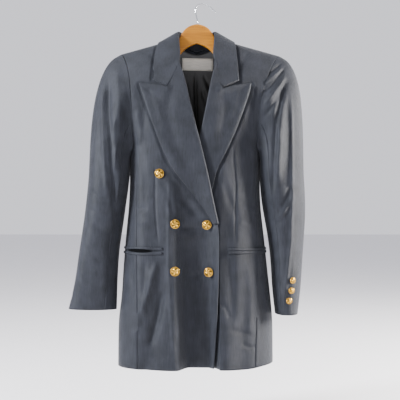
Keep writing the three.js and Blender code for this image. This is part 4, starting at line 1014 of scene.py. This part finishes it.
class BLAZER_OT_stage(Operator):
    """Build the floor, the lights and the camera"""

    bl_idname = "blazer.stage"
    bl_label = "Stage"

    def execute(self, context):
        settings = context.scene.blazer_stage
        work = bmesh.new()
        bmesh.ops.create_grid(work, x_segments=1, y_segments=1, size=FLOOR_HALF)
        bmesh.ops.translate(work, verts=work.verts, vec=(0, 0, -settings.drop))
        mesh = bpy.data.meshes.new("studio_floor")
        work.to_mesh(mesh)
        work.free()
        mesh.materials.append(material("studio_floor", floor_material, settings))
        floor = bpy.data.objects.new("studio_floor", mesh)
        context.scene.collection.objects.link(floor)

        world = bpy.data.worlds.new("studio")
        world.use_nodes = True
        background = world.node_tree.nodes["Background"]
        background.inputs["Color"].default_value = (*srgb("#e2e2ea"), 1)
        background.inputs["Strength"].default_value = WORLD_STRENGTH
        context.scene.world = world

        middle = (0, 0, CAMERA_HEIGHT)
        right_half = (-0.1, 0, CAMERA_HEIGHT)
        soft_light("key", (2.7, 0.05, 0.1), middle, (0.5, 0.9), settings.key_power, WARM_TINT)
        soft_light("fill", (-2.1, -1.0, 0.5), right_half, (0.4, 0.6), settings.fill_power, COOL_TINT)
        soft_light("top", (0.5, -0.8, 1.5), middle, (0.7, 0.7), settings.top_power)
        soft_light("back", (0.4, 2.2, 0.9), middle, (1.6, 1.6), settings.top_power)

        data = bpy.data.cameras.new("camera")
        data.sensor_width = 36.0
        data.lens = 36.0 * (CAMERA_DISTANCE + FRONT_PLANE) / FRAME_WIDTH
        camera = bpy.data.objects.new("camera", data)
        context.scene.collection.objects.link(camera)
        camera.location = (DATUM[0], -CAMERA_DISTANCE, CAMERA_HEIGHT)
        camera.rotation_euler = (QUARTER_TURN, 0, 0)
        context.scene.camera = camera
        return {"FINISHED"}


# The collar and the lapels come before the panels, which are pressed in beside them.
OPERATORS = (
    BLAZER_OT_stage,
    BLAZER_OT_collar,
    BLAZER_OT_panels,
    BLAZER_OT_sleeves,
    BLAZER_OT_pockets,
    BLAZER_OT_lining,
    BLAZER_OT_buttons,
    BLAZER_OT_hanger,
)


class BLAZER_PT_panel(Panel):
    """Lists the blazer's settings and pieces"""

    bl_idname = "BLAZER_PT_panel"
    bl_label = "Double Breasted Blazer"
    bl_space_type = "VIEW_3D"
    bl_region_type = "UI"
    bl_category = "Blazer"

    def draw(self, context):
        layout = self.layout
        for group in (context.scene.blazer_cloth, context.scene.blazer_trim, context.scene.blazer_stage):
            for key in group.__annotations__:
                layout.prop(group, key)
        for operator in OPERATORS:
            layout.operator(operator.bl_idname)


GROUPS = {"blazer_cloth": BlazerCloth, "blazer_trim": BlazerTrim, "blazer_stage": BlazerStage}


def register():
    """Registers the settings, the operators and the panel."""
    for cls in (*GROUPS.values(), *OPERATORS, BLAZER_PT_panel):
        bpy.utils.register_class(cls)
    for name, group in GROUPS.items():
        setattr(bpy.types.Scene, name, PointerProperty(type=group))


def unregister():
    """Takes them back in reverse order."""
    for name in GROUPS:
        delattr(bpy.types.Scene, name)
    for cls in (BLAZER_PT_panel, *reversed(OPERATORS), *reversed(GROUPS.values())):
        bpy.utils.unregister_class(cls)


def main():
    """Builds the stage and every piece."""
    register()
    for operator in OPERATORS:
        getattr(bpy.ops.blazer, operator.bl_idname.split(".")[1])()


if __name__ == "__main__":
    main()
